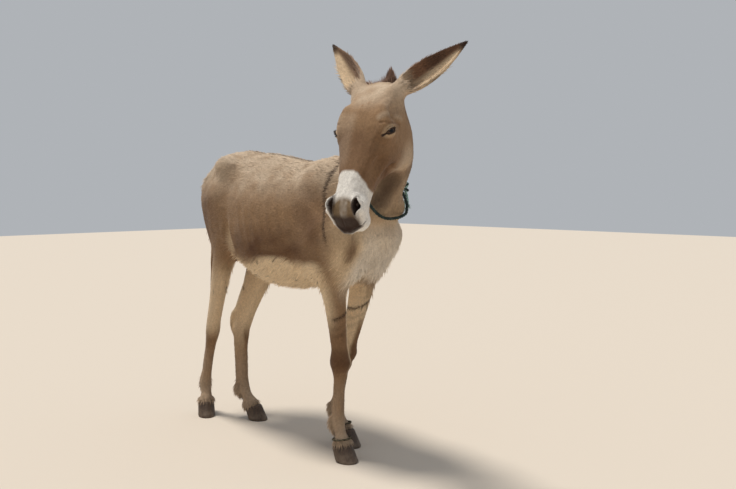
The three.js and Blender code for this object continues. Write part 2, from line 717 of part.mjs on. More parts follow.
// The same solid with each vertex moved out along its own normal, for cutting a neighbour clear.
function fatter(solid, by) {
  const m = solid.getMesh(), count = m.vertProperties.length / m.numProp;
  const at = (v) => new THREE.Vector3().fromArray(m.vertProperties, v * m.numProp);
  const out = Array.from({ length: count }, () => new THREE.Vector3());
  for (let t = 0; t < m.triVerts.length; t += 3) {
    const [a, b, c] = m.triVerts.slice(t, t + 3);
    const n = at(b).sub(at(a)).cross(at(c).sub(at(a)));
    for (const v of [a, b, c]) out[v].add(n);
  }
  const points = out.flatMap((n, v) => at(v).addScaledVector(n.normalize(), by).toArray());
  return solidOf({ points, faces: m.triVerts });
}

function add(name, solid, colour, roughness) {
  const m = solid.getMesh(), n = m.numProp, count = m.vertProperties.length / n;
  const flat = new Float32Array(count * 3);
  for (let i = 0; i < count; i++) flat.set(m.vertProperties.subarray(i * n, i * n + 3), i * 3);
  const g = new THREE.BufferGeometry().setAttribute("position", new THREE.BufferAttribute(flat, 3));
  g.setIndex(new THREE.BufferAttribute(new Uint32Array(m.triVerts), 1));
  g.computeVertexNormals();
  const material = new THREE.MeshStandardMaterial({ color: colour, roughness, metalness: 0 });
  const mesh = new THREE.Mesh(g, material);
  mesh.name = name;
  group.add(mesh);
  return solid;
}
const COAT = "#8f7a66", HORN = "#4d4640", DARK_HAIR = "#3a2a20", EYE = "#1c120c", CORD = "#2e4a44";

// ---------- trunk, neck and head ----------
const NECK_CUT = { normal: [0.724, 0, 0.69], offset: 907 }; // across the base of the neck
const HEAD_CUT = { normal: [0.42, -0.65, 0.63], offset: 938 }; // behind the ears and the jaw
const FORE_CUT = 560, HIND_CUT = 590; // heights at which the legs leave the trunk
const FORE_FROM = 240, HIND_TO = -130; // nothing but legs hangs below the cuts past these

const torso = region([-470, -250, 500], [700, 250, 1240], 13, 1984);
const EAR_CUT = 34; // how far up the ear from its root the cut is
const EAR_ROOM = 48; // nothing of an ear lies farther than this from its axis
const headWhole = region([430, -500, 700], [920, 110, 1300], 6, 2024,
  (x, y, z) => bodyAt(x, y, z, EAR_CUT + 14));
const above = box([-700, -400, HIND_CUT + GAP / 2], [900, 400, 1600])
  .add(box([HIND_TO, -400, FORE_CUT + GAP / 2], [900, 400, 1000]))
  .add(box([HIND_TO, -400, 400], [FORE_FROM, 400, 1000]));
add("trunk", biggest(behind(torso, NECK_CUT.normal, NECK_CUT.offset).intersect(above)), COAT, 0.9);
const bareNeck = behind(beyond(torso, NECK_CUT.normal, NECK_CUT.offset), HEAD_CUT.normal, HEAD_CUT.offset);
add("neck", bareNeck, COAT, 0.9);

const ball = (middle, r) => {
  const g = new THREE.IcosahedronGeometry(r, 2);
  g.translate(middle.x, middle.y, middle.z);
  return fromGeometry(g);
};
let head = beyond(headWhole, HEAD_CUT.normal, HEAD_CUT.offset);
for (const [name, middle] of Object.entries(eyes)) {
  add(name, ball(middle, EYE_RADIUS), EYE, 0.15);
  head = head.subtract(ball(middle, EYE_RADIUS * 1.03));
}
head = biggest(head);
const earSolids = [];
for (const [name, ear] of Object.entries(ears)) {
  const normal = ear.along.toArray(), offset = ear.along.dot(ear.start) + EAR_CUT;
  // takes the ear's stub off the head above the cut
  const g = new THREE.BoxGeometry(60, 2 * EAR_ROOM + 8, 2 * EAR_ROOM + 8);
  const axes = [ear.along, ear.across, ear.along.clone().cross(ear.across)];
  const at = ear.start.clone().addScaledVector(ear.along, EAR_CUT - GAP / 2 + 30);
  g.applyMatrix4(new THREE.Matrix4().makeBasis(...axes).setPosition(at));
  head = biggest(head.subtract(fromGeometry(g)));
  const whole = region(ear.lo, ear.hi, 3.4, 400, (x, y, z) => {
    const from = new THREE.Vector3(x, y, z).sub(ear.start), up = from.dot(ear.along);
    const aside = Math.sqrt(Math.max(from.lengthSq() - up * up, 0));
    return Math.max(bodyAt(x, y, z), EAR_CUT - 10 - up, aside - EAR_ROOM);
  });
  earSolids.push(add(name, beyond(whole, normal, offset), COAT, 0.9));
}
add("head", head, COAT, 0.9);

// ---------- legs and hooves ----------
const FORE_KNEE_CUT = 296, HOCK_CUT = 300, FETLOCK_CUT = 98;
const CORONET_SLOPE = 0.3; // how fast the top of the hoof falls from toe to heel
const HOOF_SIDES = 16;
const BETWEEN = -22; // nothing of either hind leg crosses this y, and the forelegs keep their own side

function hoofSolid(at, turn, { height, sole, coronet, back }) {
  const t = rad(turn), c = Math.cos(t), s = Math.sin(t);
  const ring = (z, [long, wide], shift, slope) =>
    Array.from({ length: HOOF_SIDES }, (_, i) => {
      const a = (i / HOOF_SIDES) * Math.PI * 2;
      const f = Math.cos(a), heel = f < 0 ? 0.82 : 1; // the heel is blunter than the toe
      const x = shift + long * f * heel, y = wide * Math.sin(a);
      return [at[0] + x * c - y * s, at[1] + x * s + y * c, z + slope * (x - shift)];
    });
  const bevel = 3;
  const rings = [
    ring(SOLE_HEIGHT, sole.map((v) => v - bevel), 0, 0),
    ring(SOLE_HEIGHT + bevel, sole, 0, 0),
    ring(height - 6, coronet.map((v) => v + 3), -back * 0.88, CORONET_SLOPE),
    ring(height, coronet, -back, CORONET_SLOPE),
  ];
  const points = rings.flat(2), faces = [];
  for (let r = 0; r < rings.length - 1; r++)
    for (let i = 0; i < HOOF_SIDES; i++) {
      const a = r * HOOF_SIDES + i, b = r * HOOF_SIDES + ((i + 1) % HOOF_SIDES);
      faces.push(a, b, b + HOOF_SIDES, a, b + HOOF_SIDES, a + HOOF_SIDES);
    }
  const top = (rings.length - 1) * HOOF_SIDES;
  for (let i = 1; i < HOOF_SIDES - 1; i++) {
    faces.push(0, i + 1, i);
    faces.push(top, top + i, top + i + 1);
  }
  return solidOf({ points, faces });
}

const pasterns = {};
for (const [name, leg] of Object.entries(LEGS)) {
  const fore = name.startsWith("fore"), side = name.split("_")[1];
  const shape = fore ? FORE_HOOF : HIND_HOOF;
  const t = rad(leg.turn), ahead = [Math.cos(t), Math.sin(t), 0];
  const upTo = fore ? FORE_CUT : HIND_CUT, middle = fore ? 12 : BETWEEN;
  const lo = [fore ? FORE_FROM - 70 : -520, side === "left" ? middle : -190, 20];
  const hi = [fore ? 460 : HIND_TO + 20, side === "left" ? 190 : middle, upTo + 30];
  const whole = region(lo, hi, 7, fore ? 400 : 410);
  const upper = behind(whole, [0, 0, 1], upTo);
  const joint = fore ? FORE_KNEE_CUT : HOCK_CUT;
  add((fore ? "forearm_" : "gaskin_") + side, beyond(upper, [0, 0, 1], joint), COAT, 0.9);
  const lower = behind(upper, [0, 0, 1], joint);
  add("cannon_" + name, beyond(lower, [0, 0, 1], FETLOCK_CUT), COAT, 0.9);
  const hoofTop = leg.hoof.map((v, k) => v - ahead[k] * shape.back);
  const normal = [-ahead[0] * CORONET_SLOPE, -ahead[1] * CORONET_SLOPE, 1];
  const offset = normal[0] * hoofTop[0] + normal[1] * hoofTop[1] + shape.height;
  const long = Math.hypot(...normal);
  const pastern = behind(lower, [0, 0, 1], FETLOCK_CUT);
  pasterns[name] = add("pastern_" + name,
    beyond(pastern, normal.map((v) => v / long), (offset + GAP / 2) / long), COAT, 0.9);
  add("hoof_" + name, hoofSolid(leg.hoof, leg.turn, shape), HORN, 0.7);
}

// ---------- mane and tail ----------
const MANE_UP = 46, MANE_HALF = 10; // how far the crest of hair stands, and half its thickness
const fatTorso = fatter(torso, 0.7), fatHead = fatter(headWhole, 0.7);
const CREST_WAY = new THREE.Vector3(-0.76, 0.1, 0.64).normalize();
const FORETOP = [ // the mane runs on behind the poll and ends upright between the ears
  [612, -114, 1208, 28, 11],
  [652, -98, 1230, 56, 13],
];
const maneRows = drawnOut(NECK, 2).map(([x, y, z, deep], i, all) => {
  const share = i / (all.length - 1); // low at the withers, full from the middle of the neck
  const up = MANE_UP * (0.45 + 0.55 * Math.min(1, share * 1.6));
  const p = new THREE.Vector3(x, y, z).addScaledVector(CREST_WAY, deep + up / 2 - 16);
  return [p.x, p.y, p.z, up / 2 + 16, MANE_HALF];
});
maneRows.push(...FORETOP);
const maneField = loft(maneRows, CREST_WAY);
const maneRaw = region([160, -260, 880], [720, 90, 1420], 8, 160, (x, y, z) => near(maneField, x, y, z, 40));
// the collar is let into it below
const maneWhole = [fatTorso, fatHead, ...earSolids.map((ear) => fatter(ear, 0.6))]
  .reduce((left, taken) => left.subtract(taken), maneRaw);

const DOCK = [
  [-396, 0, 962, 24, 24],
  [-430, 0, 936, 22, 21],
  [-452, 0, 880, 19, 18],
  [-458, 0, 790, 16, 15],
  [-456, 0, 690, 14, 13],
  [-452, 0, 640, 15, 14],
  [-448, 0, 560, 22, 21],
  [-444, 0, 470, 21, 20],
  [-440, 0, 392, 9, 9],
];
const SWITCH_CUT = 655; // the long hair starts below this height
const tailField = loft(drawnOut(DOCK, 3), new THREE.Vector3(1, 0, 0));
const tailWhole = region([-520, -60, 360], [-360, 60, 1010], 8, 300,
  (x, y, z) => near(tailField, x, y, z, 40)).subtract(fatTorso);
const tail = biggest(tailWhole);
add("tail", beyond(tail, [0, 0, 1], SWITCH_CUT), COAT, 0.9);
add("tail_switch", behind(tail, [0, 0, 1], SWITCH_CUT), DARK_HAIR, 0.95);

// ---------- ropes ----------
// A closed or open round cord along points.
function cord(points, radius, sides, closed) {
  const n = points.length, rows = [];
  const way = (i) => {
    const a = points[closed ? (i + n - 1) % n : Math.max(i - 1, 0)];
    const b = points[closed ? (i + 1) % n : Math.min(i + 1, n - 1)];
    return b.clone().sub(a).normalize();
  };
  const centre = points.reduce((s, p) => s.add(p), new THREE.Vector3()).divideScalar(n);
  for (let i = 0; i < n; i++) {
    const t = way(i);
    const out = points[i].clone().sub(centre);
    const u = out.addScaledVector(t, -out.dot(t)).normalize();
    const v = new THREE.Vector3().crossVectors(t, u);
    for (let k = 0; k < sides; k++) {
      const a = (k / sides) * Math.PI * 2;
      rows.push(points[i].clone().addScaledVector(u, Math.cos(a) * radius)
        .addScaledVector(v, Math.sin(a) * radius));
    }
  }
  const faces = [];
  for (let i = 0; i < (closed ? n : n - 1); i++)
    for (let k = 0; k < sides; k++) {
      const a = i * sides + k, b = i * sides + ((k + 1) % sides);
      const c = ((i + 1) % n) * sides + ((k + 1) % sides), d = ((i + 1) % n) * sides + k;
      faces.push(a, b, c, a, c, d);
    }
  if (!closed)
    for (let k = 1; k < sides - 1; k++) {
      faces.push(0, k + 1, k);
      faces.push((n - 1) * sides, (n - 1) * sides + k, (n - 1) * sides + k + 1);
    }
  return solidOf({ points: rows.flatMap((p) => p.toArray()), faces });
}
// A loop that lies on the body: from a middle, out along each direction in a plane until the body's
// surface is `clear` away.
function loopOn(middle, down, across, clear, steps, from = 0) {
  return Array.from({ length: steps }, (_, i) => {
    const a = from + (i / steps) * Math.PI * 2;
    const way = down.clone().multiplyScalar(Math.cos(a)).addScaledVector(across, Math.sin(a));
    let r = 10;
    for (let k = 0; k < 60; k++) {
      const p = middle.clone().addScaledVector(way, r);
      const d = bodyAt(p.x, p.y, p.z);
      if (d >= clear - 0.05) break;
      r += Math.max((clear - d) * 0.6, 0.3);
    }
    return middle.clone().addScaledVector(way, r);
  });
}
// Evens out a loop's steps so that the cord doesn't dip into small hollows.
const eased = (points) => points.map((p, i, all) => {
  const a = all[(i + all.length - 1) % all.length], b = all[(i + 1) % all.length];
  return p.clone().multiplyScalar(2).add(a).add(b).divideScalar(4);
});
const COLLAR_MIDDLE = new THREE.Vector3(501, -6, 929);
const COLLAR_DOWN = new THREE.Vector3(0.5, -0.1, -0.86).normalize();
const COLLAR_ACROSS = new THREE.Vector3(0.1, 1, -0.058).normalize();
const SLACK = 4; // how far the ropes stand off the coat
const collarPath = eased(loopOn(COLLAR_MIDDLE, COLLAR_DOWN, COLLAR_ACROSS, ROPE + SLACK, 36));
const collar = cord(collarPath, ROPE, 6, true).subtract(fatTorso).subtract(fatHead);
add("collar_rope", biggest(collar), CORD, 0.9);
add("mane", biggest(maneWhole.subtract(fatter(collar, 0.6))), DARK_HAIR, 0.95);

// The knot on the left of the neck, with two short frayed ends.
const KNOT_STEP = 8; // which of the loop's points it sits at, counted from the lowest
const knotAt = collarPath[KNOT_STEP];
const outwards = knotAt.clone().sub(COLLAR_MIDDLE).setZ(0).normalize();
const KNOT_OUT = 9; // the knot's own parts start clear of the loop
const knotPoint = (out, ahead, up) => knotAt.clone().addScaledVector(outwards, out + KNOT_OUT)
  .add(new THREE.Vector3(ahead, 0, up));
const knotParts = [
  oval(knotPoint(9, 0, 0).toArray(), [12, 11, 16]),
  oval(knotPoint(11, 5, 16).toArray(), [9, 8, 13]),
  oval(knotPoint(9, -5, -15).toArray(), [10, 9, 12]),
];
const endRows = [
  [[9, 4, -14], [14, 12, -28], [18, 21, -44]],
  [[9, -3, -16], [14, -7, -34], [17, -14, -52]],
].map((path) => path.map((p, i) => [...knotPoint(...p).toArray(), 5 - i * 0.7, 5 - i * 0.7]));
const ends = endRows.map((rows) => loft(drawnOut(rows, 3), outwards));
const knotField = (x, y, z) => {
  let d = 1e9;
  for (const part of knotParts) d = blend(d, part.at(x, y, z), 6);
  for (const end of ends) d = blend(d, end.at(x, y, z), 7);
  return d;
};
const around = (p, r) => [p.toArray().map((v) => v - r), p.toArray().map((v) => v + r)];
const knot = region(...around(knotPoint(10, 2, -12), 60), 3, 260, knotField);
add("collar_knot", biggest(knot), CORD, 0.95);

// The hobble: a loop on each fore pastern and the cord that joins them.
const HOBBLE_AT = { fore_right: [366, -46, 71], fore_left: [240, 72, 73] };
const SAG = 12; // the joining cord hangs this far below its ends
const loops = {}, loopPaths = {};
for (const [name, middle] of Object.entries(HOBBLE_AT)) {
  const tip = new THREE.Vector3(1, 0, 0.14).normalize(), across = new THREE.Vector3(0, 1, 0);
  loopPaths[name] = eased(loopOn(V(middle), tip, across, HOBBLE + 2.4, 18));
  loops[name] = cord(loopPaths[name], HOBBLE, 5, true).subtract(fatter(pasterns[name], 0.5));
  add("hobble_" + name, biggest(loops[name]), CORD, 0.95);
}
const nearestTo = (path, target) =>
  path.reduce((a, b) => (b.distanceTo(target) < a.distanceTo(target) ? b : a));
const from = nearestTo(loopPaths.fore_right, V(HOBBLE_AT.fore_left));
const to = nearestTo(loopPaths.fore_left, V(HOBBLE_AT.fore_right));
const linkPath = Array.from({ length: 9 }, (_, i) => {
  const t = i / 8, p = from.clone().lerp(to, t);
  p.z -= SAG * 4 * t * (1 - t);
  return p;
});
const link = cord(linkPath, HOBBLE, 5, false)
  .subtract(fatter(loops.fore_right, 0.5)).subtract(fatter(loops.fore_left, 0.5));
add("hobble_link", biggest(link), CORD, 0.95);

// ---------- the origin: under the middle of the whole, on the floor ----------
const whole = new THREE.Box3().setFromObject(group);
const foot = whole.getCenter(new THREE.Vector3()).setZ(whole.min.z);
for (const mesh of group.children) mesh.geometry.translate(-foot.x, -foot.y, -foot.z);

export default group;
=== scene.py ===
"""A standing donkey with its coat, mane, tail, rope collar and hobble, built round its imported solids."""

import json
import math

import bmesh
import bpy
import numpy as np
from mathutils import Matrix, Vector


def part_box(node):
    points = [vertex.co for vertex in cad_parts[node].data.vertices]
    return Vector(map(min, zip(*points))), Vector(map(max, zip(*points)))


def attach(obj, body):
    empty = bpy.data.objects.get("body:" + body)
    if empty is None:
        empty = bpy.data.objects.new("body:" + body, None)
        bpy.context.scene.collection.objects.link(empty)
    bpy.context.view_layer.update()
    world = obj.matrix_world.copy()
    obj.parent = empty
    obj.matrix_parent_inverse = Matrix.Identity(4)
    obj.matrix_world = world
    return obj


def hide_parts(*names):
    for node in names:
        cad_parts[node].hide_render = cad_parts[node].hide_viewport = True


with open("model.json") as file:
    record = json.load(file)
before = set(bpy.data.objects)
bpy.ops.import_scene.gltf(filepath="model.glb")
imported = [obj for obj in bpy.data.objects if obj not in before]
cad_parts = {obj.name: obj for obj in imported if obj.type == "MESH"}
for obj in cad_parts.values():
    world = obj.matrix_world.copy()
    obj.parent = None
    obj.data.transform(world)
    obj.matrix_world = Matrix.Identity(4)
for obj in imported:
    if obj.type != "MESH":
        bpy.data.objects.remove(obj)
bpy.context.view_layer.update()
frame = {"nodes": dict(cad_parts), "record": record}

import openvdb as vdb
from bpy.props import FloatProperty, FloatVectorProperty, IntProperty, PointerProperty
from mathutils import Vector

bl_info = {
    "name": "Standing Donkey",
    "version": (1, 0, 0),
    "blender": (4, 5, 0),
    "location": "View3D > Sidebar > Donkey",
    "description": "Skin, coat, hair, eyes, hooves and ropes of a standing donkey",
    "category": "Object",
}

NODES = frame["nodes"]
SEED = 11
MADE = {}  # what one operator leaves for the next: the skin's arrays and its marks
LEGS = ("fore_left", "fore_right", "hind_left", "hind_right")
EARS = ("ear_left", "ear_right")
EAR_REACH = 0.15  # no point of an ear is further than this from its middle
STRANDS = (0.3, 0.5, 0.75)  # the shades of a rope's three strands
OUTSIDE = -20.0  # the nostril's share well away from it
FLOOR = 14.0  # half the floor's width
JOIN_WAY = (0.42, -0.65, 0.63)  # up the neck, square to the cut between the two skins
CREST_WAY = (-0.76, 0.10, 0.64)  # the way the mane stands
SUN_WAY = (0.26, 0.16, -1.0)


# ---------------------------------------------------------------- sizes and colours
def size(name, text, default):
    return FloatProperty(name=name, description=text, default=default, unit="LENGTH", precision=4)


def colour(name, text, default):
    return FloatVectorProperty(name=name, description=text, default=default, subtype="COLOR", size=3)


def count(name, text, default):
    return IntProperty(name=name, description=text, default=default, min=0)


def degrees(name, text, default):
    return FloatProperty(
        name=name, description=text, default=math.radians(default), subtype="ANGLE"
    )


class DonkeySkin(bpy.types.PropertyGroup):
    body_grain: size("Body grain", "Width of the skin's facets on the body", 0.006)
    head_grain: size("Head grain", "Width of the skin's facets on head and ears", 0.0026)
    body_rounds: count("Body rounds", "How often the body's skin is evened out", 70)
    head_rounds: count("Head rounds", "How often the head's skin is evened out", 44)
    neck_join: size("Neck join", "How far behind the eyes head and body skin meet", 0.205)
    body_depth: size("Body coat", "Depth of the coat on the trunk and neck", 0.006)
    leg_depth: size("Leg coat", "Depth of the coat on the lower legs", 0.0022)
    face_depth: size("Face coat", "Depth of the coat on the face", 0.0016)


class DonkeyHead(bpy.types.PropertyGroup):
    turn: degrees("Turn", "Turn of the head from the line of the body", -78)
    lean: degrees("Lean", "Lean of the face from the vertical", 26)
    eye_down: size("Eye height", "How far down the face from the poll the eyes lie", 0.157)
    eye_in: size("Eye depth", "How far the eyes lie behind the line of the face", 0.036)
    lid: size("Lid", "Thickness of the eyelids", 0.0026)
    slit_long: size("Slit length", "Half the length of the opening of an eye", 0.0166)
    slit_up: size("Upper opening", "Height of the opening above the line of its corners", 0.0060)
    slit_down: size("Lower opening", "Height of the opening below that line", 0.0056)
    nostril_deep: size("Nostril depth", "How far a nostril is sunk", 0.024)


class DonkeyCoat(bpy.types.PropertyGroup):
    body_tufts: count("Body tufts", "Tufts on the trunk and neck", 150000)
    leg_tufts: count("Leg tufts", "Tufts on the legs", 44000)
    head_tufts: count("Head tufts", "Tufts on the head", 62000)
    ear_tufts: count("Ear tufts", "Tufts on the ears", 22000)
    long_tufts: count("Long tufts", "Longer locks of rough hair", 12000)
    mane_locks: count("Mane locks", "Locks of the mane", 5200)
    tail_locks: count("Tail locks", "Locks of the tail's switch", 2600)
    body_hair: size("Body hair", "Length of the tufts on the trunk", 0.0125)
    leg_hair: size("Leg hair", "Length of the tufts on the legs", 0.009)
    head_hair: size("Head hair", "Length of the tufts on the face", 0.0055)


class DonkeyColours(bpy.types.PropertyGroup):
    dun: colour("Dun", "Grey brown of the sides", (0.32, 0.192, 0.100))
    # dust of back, croup and forehead, with painted light where the skin faces up, on the brow's ridge and on
    # the lit side of the face
    dust_and_light: colour("Dust", "Paler grey brown of back, croup and forehead", (0.56, 0.435, 0.315))
    # also painted shade under the jaw, on the throat and in the brow's groove
    brown: colour("Brown", "Darker brown of flank, knees and fetlocks", (0.098, 0.038, 0.015))
    pale: colour("Pale", "Cream of belly, chest and inner legs", (0.84, 0.65, 0.43))
    white: colour("White", "Mealy white of the muzzle and round the eyes", (0.80, 0.76, 0.70))
    # also painted shadow behind the jaw, in the ears' hollows and inside the nostrils
    dark: colour("Dark", "Stripes, ear edges, lips and lashes", (0.035, 0.017, 0.010))
    nose: colour("Nose", "Skin between the nostrils", (0.19, 0.125, 0.065))
    ear: colour("Ear", "Inside of the ears", (0.25, 0.13, 0.075))
    mane: colour("Mane", "Mane and tail hair", (0.075, 0.04, 0.025))
    horn: colour("Horn", "Horn of the hooves", (0.042, 0.024, 0.014))
    horn_dust: colour("Horn dust", "Dust on the hooves", (0.14, 0.10, 0.068))
    iris: colour("Iris", "Iris of the eyes", (0.05, 0.024, 0.012))
    rope: colour("Rope", "Collar rope", (0.022, 0.036, 0.032))
    rope_pale: colour("Worn rope", "Worn strand of the collar rope", (0.32, 0.48, 0.44))
    hobble: colour("Hobble", "Cord of the hobble", (0.055, 0.045, 0.028))


class DonkeyStage(bpy.types.PropertyGroup):
    eye_point: FloatVectorProperty(
        name="Camera",
        description="Where the camera stands, from the sole of the right fore hoof",
        default=(1.9445, -1.810, 0.900),
        unit="LENGTH",
    )
    look_way: FloatVectorProperty(
        name="Look", description="The way the camera looks", default=(-0.7133, 0.7009, 0.0)
    )
    lens: FloatProperty(name="Lens", description="Focal length in millimetres", default=39.13)
    drop: FloatProperty(name="Drop", description="How far the lens is shifted down", default=-0.0740)
    sun: FloatProperty(name="Sun", description="Strength of the high main light", default=2.9)
    sky: FloatProperty(name="Sky", description="Strength of the light all round", default=0.5)
    floor: colour("Floor", "Plain floor", (0.62, 0.55, 0.47))


# ---------------------------------------------------------------- sums on points
def ramp(x, a, b):
    t = np.clip((x - a) / (b - a), 0.0, 1.0)
    return t * t * (3.0 - 2.0 * t)


def hill(d):
    """1 where d is 0, falling smoothly to 0 where d reaches 1."""
    t = np.clip(1.0 - d * d, 0.0, 1.0)
    return t * t


def unit(a):
    return a / np.maximum(np.linalg.norm(a, axis=-1, keepdims=True), 1e-12)


def speckle(p, grain, seed=0):
    """Smooth random values from 0 to 1 that change over about one grain."""
    q = p / grain + 1000.0
    cell = np.floor(q).astype(np.int64)
    f = q - cell
    f = f * f * (3 - 2 * f)
    total = np.zeros(len(p))
    for corner in range(8):
        step = np.array([corner & 1, (corner >> 1) & 1, corner >> 2])
        c = cell + step
        h = (c[:, 0] * 73856093) ^ (c[:, 1] * 19349663) ^ (c[:, 2] * 83492791) ^ (seed * 2654435)
        h = (h ^ (h >> 13)) * 1274126177 & 0xFFFFFFFF
        h = (h ^ (h >> 16)) & 0xFFFF
        weight = np.prod(np.where(step, f, 1 - f), axis=1)
        total += weight * h / 65535.0
    return total


def middle(node):
    lo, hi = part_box(node)
    return (np.array(lo) + np.array(hi)) / 2


def arrays_of(obj):
    m = obj.data
    m.calc_loop_triangles()
    p = np.empty(len(m.vertices) * 3)
    m.vertices.foreach_get("co", p)
    f = np.empty(len(m.loop_triangles) * 3, np.int32)
    m.loop_triangles.foreach_get("vertices", f)
    return p.reshape(-1, 3), f.reshape(-1, 3)


def together(parts):
    """Several pairs of points and faces as one pair."""
    points, faces, start = [], [], 0
    for p, f in parts:
        points.append(p)
        faces.append(f + start)
        start += len(p)
    return np.concatenate(points), np.concatenate(faces)


def halved(quads):
    return np.concatenate([quads[:, [0, 1, 2]], quads[:, [0, 2, 3]]])


def solid_mesh(name, points, faces, soft=True):
    """A mesh object from arrays of points and of faces with one number of corners."""
    mesh = bpy.data.meshes.new(name)
    sides = faces.shape[1]
    mesh.vertices.add(len(points))
    mesh.vertices.foreach_set("co", np.asarray(points, np.float32).ravel())
    mesh.loops.add(faces.size)
    mesh.loops.foreach_set("vertex_index", faces.astype(np.int32).ravel())
    mesh.polygons.add(len(faces))
    mesh.polygons.foreach_set("loop_start", np.arange(0, faces.size, sides, dtype=np.int32))
    mesh.polygons.foreach_set("loop_total", np.full(len(faces), sides, np.int32))
    mesh.polygons.foreach_set("use_smooth", np.full(len(faces), soft))
    mesh.update(calc_edges=True)
    mesh.validate()
    obj = bpy.data.objects.new(name, mesh)
    bpy.context.scene.collection.objects.link(obj)
    return obj


def layer(obj, name, values):
    a = obj.data.attributes.new(name, "FLOAT", "POINT")
    a.data.foreach_set("value", np.asarray(values, np.float32))


def marked(obj, marks):
    for name, values in marks.items():
        layer(obj, name, values)


def finished(obj, material, replaces=()):
    obj.data.materials.append(material)
    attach(obj, "root")
    if replaces:
        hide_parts(*replaces)
    return obj


def vertex_normals(p, f):
    n = np.cross(p[f[:, 1]] - p[f[:, 0]], p[f[:, 2]] - p[f[:, 0]])
    out = np.zeros_like(p)
    for k in range(3):
        for c in range(3):
            out[:, c] += np.bincount(f[:, k], n[:, c], len(p))
    return unit(out)


def links(f):
    """Every edge of the faces once, as pairs of points."""
    e = np.concatenate([f[:, [i, (i + 1) % f.shape[1]]] for i in range(f.shape[1])])
    e.sort(axis=1)
    key = np.unique(e[:, 0].astype(np.int64) << 32 | e[:, 1])
    return (key >> 32).astype(np.int64), (key & 0xFFFFFFFF).astype(np.int64)


def evened(p, f, rounds, strength=None, back=0.565):
    """Evens out the facets: a step in, then a step out again that is slightly longer to keep the volume."""
    a, b = links(f)
    n = len(p)
    many = np.maximum(np.bincount(a, minlength=n) + np.bincount(b, minlength=n), 1)[:, None]
    p = p.copy()
    keep = 1.0 if strength is None else strength[:, None]
    for i in range(rounds * 2):
        total = np.empty_like(p)
        for c in range(3):
            total[:, c] = np.bincount(a, p[b, c], n) + np.bincount(b, p[a, c], n)
        p += (total / many - p) * keep * (0.55 if i % 2 == 0 else -back)
    return p


# ---------------------------------------------------------------- the head's own frame
def head_axes():
    """The poll, and u down the face, v to the donkey's left, w out of the face."""
    h = bpy.context.scene.donkey_head
    up = np.array([0.0, 0.0, 1.0])
    facing = np.array([math.cos(h.turn), math.sin(h.turn), 0.0])
    u = facing * math.sin(h.lean) - up * math.cos(h.lean)
    w = facing * math.cos(h.lean) + up * math.sin(h.lean)
    v = np.cross(up, facing)
    eyes = (middle("eye_left") + middle("eye_right")) / 2
    return eyes - u * h.eye_down + w * h.eye_in, np.array([u, v, w])


def on_head(p):
    """Points in the head's own frame, in millimetres."""
    poll, axes = MADE["head"]
    return (p - poll) @ axes.T * 1000.0


def off_head(q):
    poll, axes = MADE["head"]
    return poll + np.asarray(q, float) / 1000.0 @ axes


def head_way(q):
    return unit(np.asarray(q, float) @ MADE["head"][1])


# ---------------------------------------------------------------- the skin's surface
FLESH = [
    n
    for n in sorted(NODES)
    if n.split("_")[0] in ("trunk", "neck", "head", "ear", "forearm", "gaskin", "cannon", "pastern", "tail")
    and n != "tail_switch"
]
CLOSE = 0.0012  # wider than the cuts between the solids


def closed_skin(nodes, grain):
    """One closed surface over several solids, with the cuts between them shut."""
    points, faces = together([arrays_of(NODES[n]) for n in nodes])
    grid = vdb.createLinearTransform(voxelSize=grain)
    level = vdb.FloatGrid.createLevelSetFromPolygons(
        points.astype(np.float32),
        triangles=faces.astype(np.uint32),
        transform=grid,
        halfWidth=4,
    )
    p, q = level.convertToQuads(isovalue=CLOSE)
    level = vdb.FloatGrid.createLevelSetFromPolygons(
        p, quads=q.astype(np.uint32), transform=grid, halfWidth=4
    )
    p, q = level.convertToQuads(isovalue=-CLOSE)
    return p.astype(float), q.astype(np.int64)[:, ::-1]


def cut(p, q, at, way):
    """The part of a surface on the far side of a plane, with the loop of points on its edge."""
    mesh = bpy.data.meshes.new("cut")
    mesh.from_pydata(p.tolist(), [], q.tolist())
    bm = bmesh.new()
    bm.from_mesh(mesh)
    bpy.data.meshes.remove(mesh)
    bmesh.ops.bisect_plane(
        bm,
        geom=bm.verts[:] + bm.edges[:] + bm.faces[:],
        dist=1e-6,
        plane_co=at,
        plane_no=way,
        clear_inner=True,
    )
    bmesh.ops.triangulate(bm, faces=bm.faces[:])
    bm.verts.index_update()
    points = np.array([v.co for v in bm.verts])
    faces = np.array([[v.index for v in f.verts] for f in bm.faces])
    edge = sorted({v.index for e in bm.edges if e.is_boundary for v in e.verts})
    bm.free()
    return points, faces, np.array(edge)


def joined(a, b, way):
    """Two cut surfaces made one, by a ring of triangles between their edges."""
    (p1, f1, e1), (p2, f2, e2) = a, b
    x = unit(np.cross(way, [0.0, 0.0, 1.0]))
    y = np.cross(way, x)
    centre = (p1[e1].min(0) + p1[e1].max(0)) / 2

    def turned(p, e):
        angle = np.arctan2((p[e] - centre) @ y, (p[e] - centre) @ x)
        order = np.argsort(angle)
        return e[order], angle[order]

    r1, t1 = turned(p1, e1)
    r2, t2 = turned(p2, e2)
    r2 = r2 + len(p1)
    ring, i, j = [], 0, 0
    while i < len(r1) or j < len(r2):
        next1 = t1[(i + 1) % len(r1)] + (2 * math.pi if i + 1 >= len(r1) else 0)
        next2 = t2[(j + 1) % len(r2)] + (2 * math.pi if j + 1 >= len(r2) else 0)
        a0, b0 = r1[i % len(r1)], r2[j % len(r2)]
        if j >= len(r2) or (i < len(r1) and next1 <= next2):
            ring.append([a0, r1[(i + 1) % len(r1)], b0])
            i += 1
        else:
            ring.append([a0, r2[(j + 1) % len(r2)], b0])
            j += 1
    p = np.concatenate([p1, p2])
    ring = np.array(ring)
    n = np.cross(p[ring[:, 1]] - p[ring[:, 0]], p[ring[:, 2]] - p[ring[:, 0]])
    out = ((p[ring].mean(1) - centre) * n).sum(1)
    if np.median(out) < 0:
        ring = ring[:, ::-1]
    return p, np.concatenate([f1, f2 + len(p1), ring])


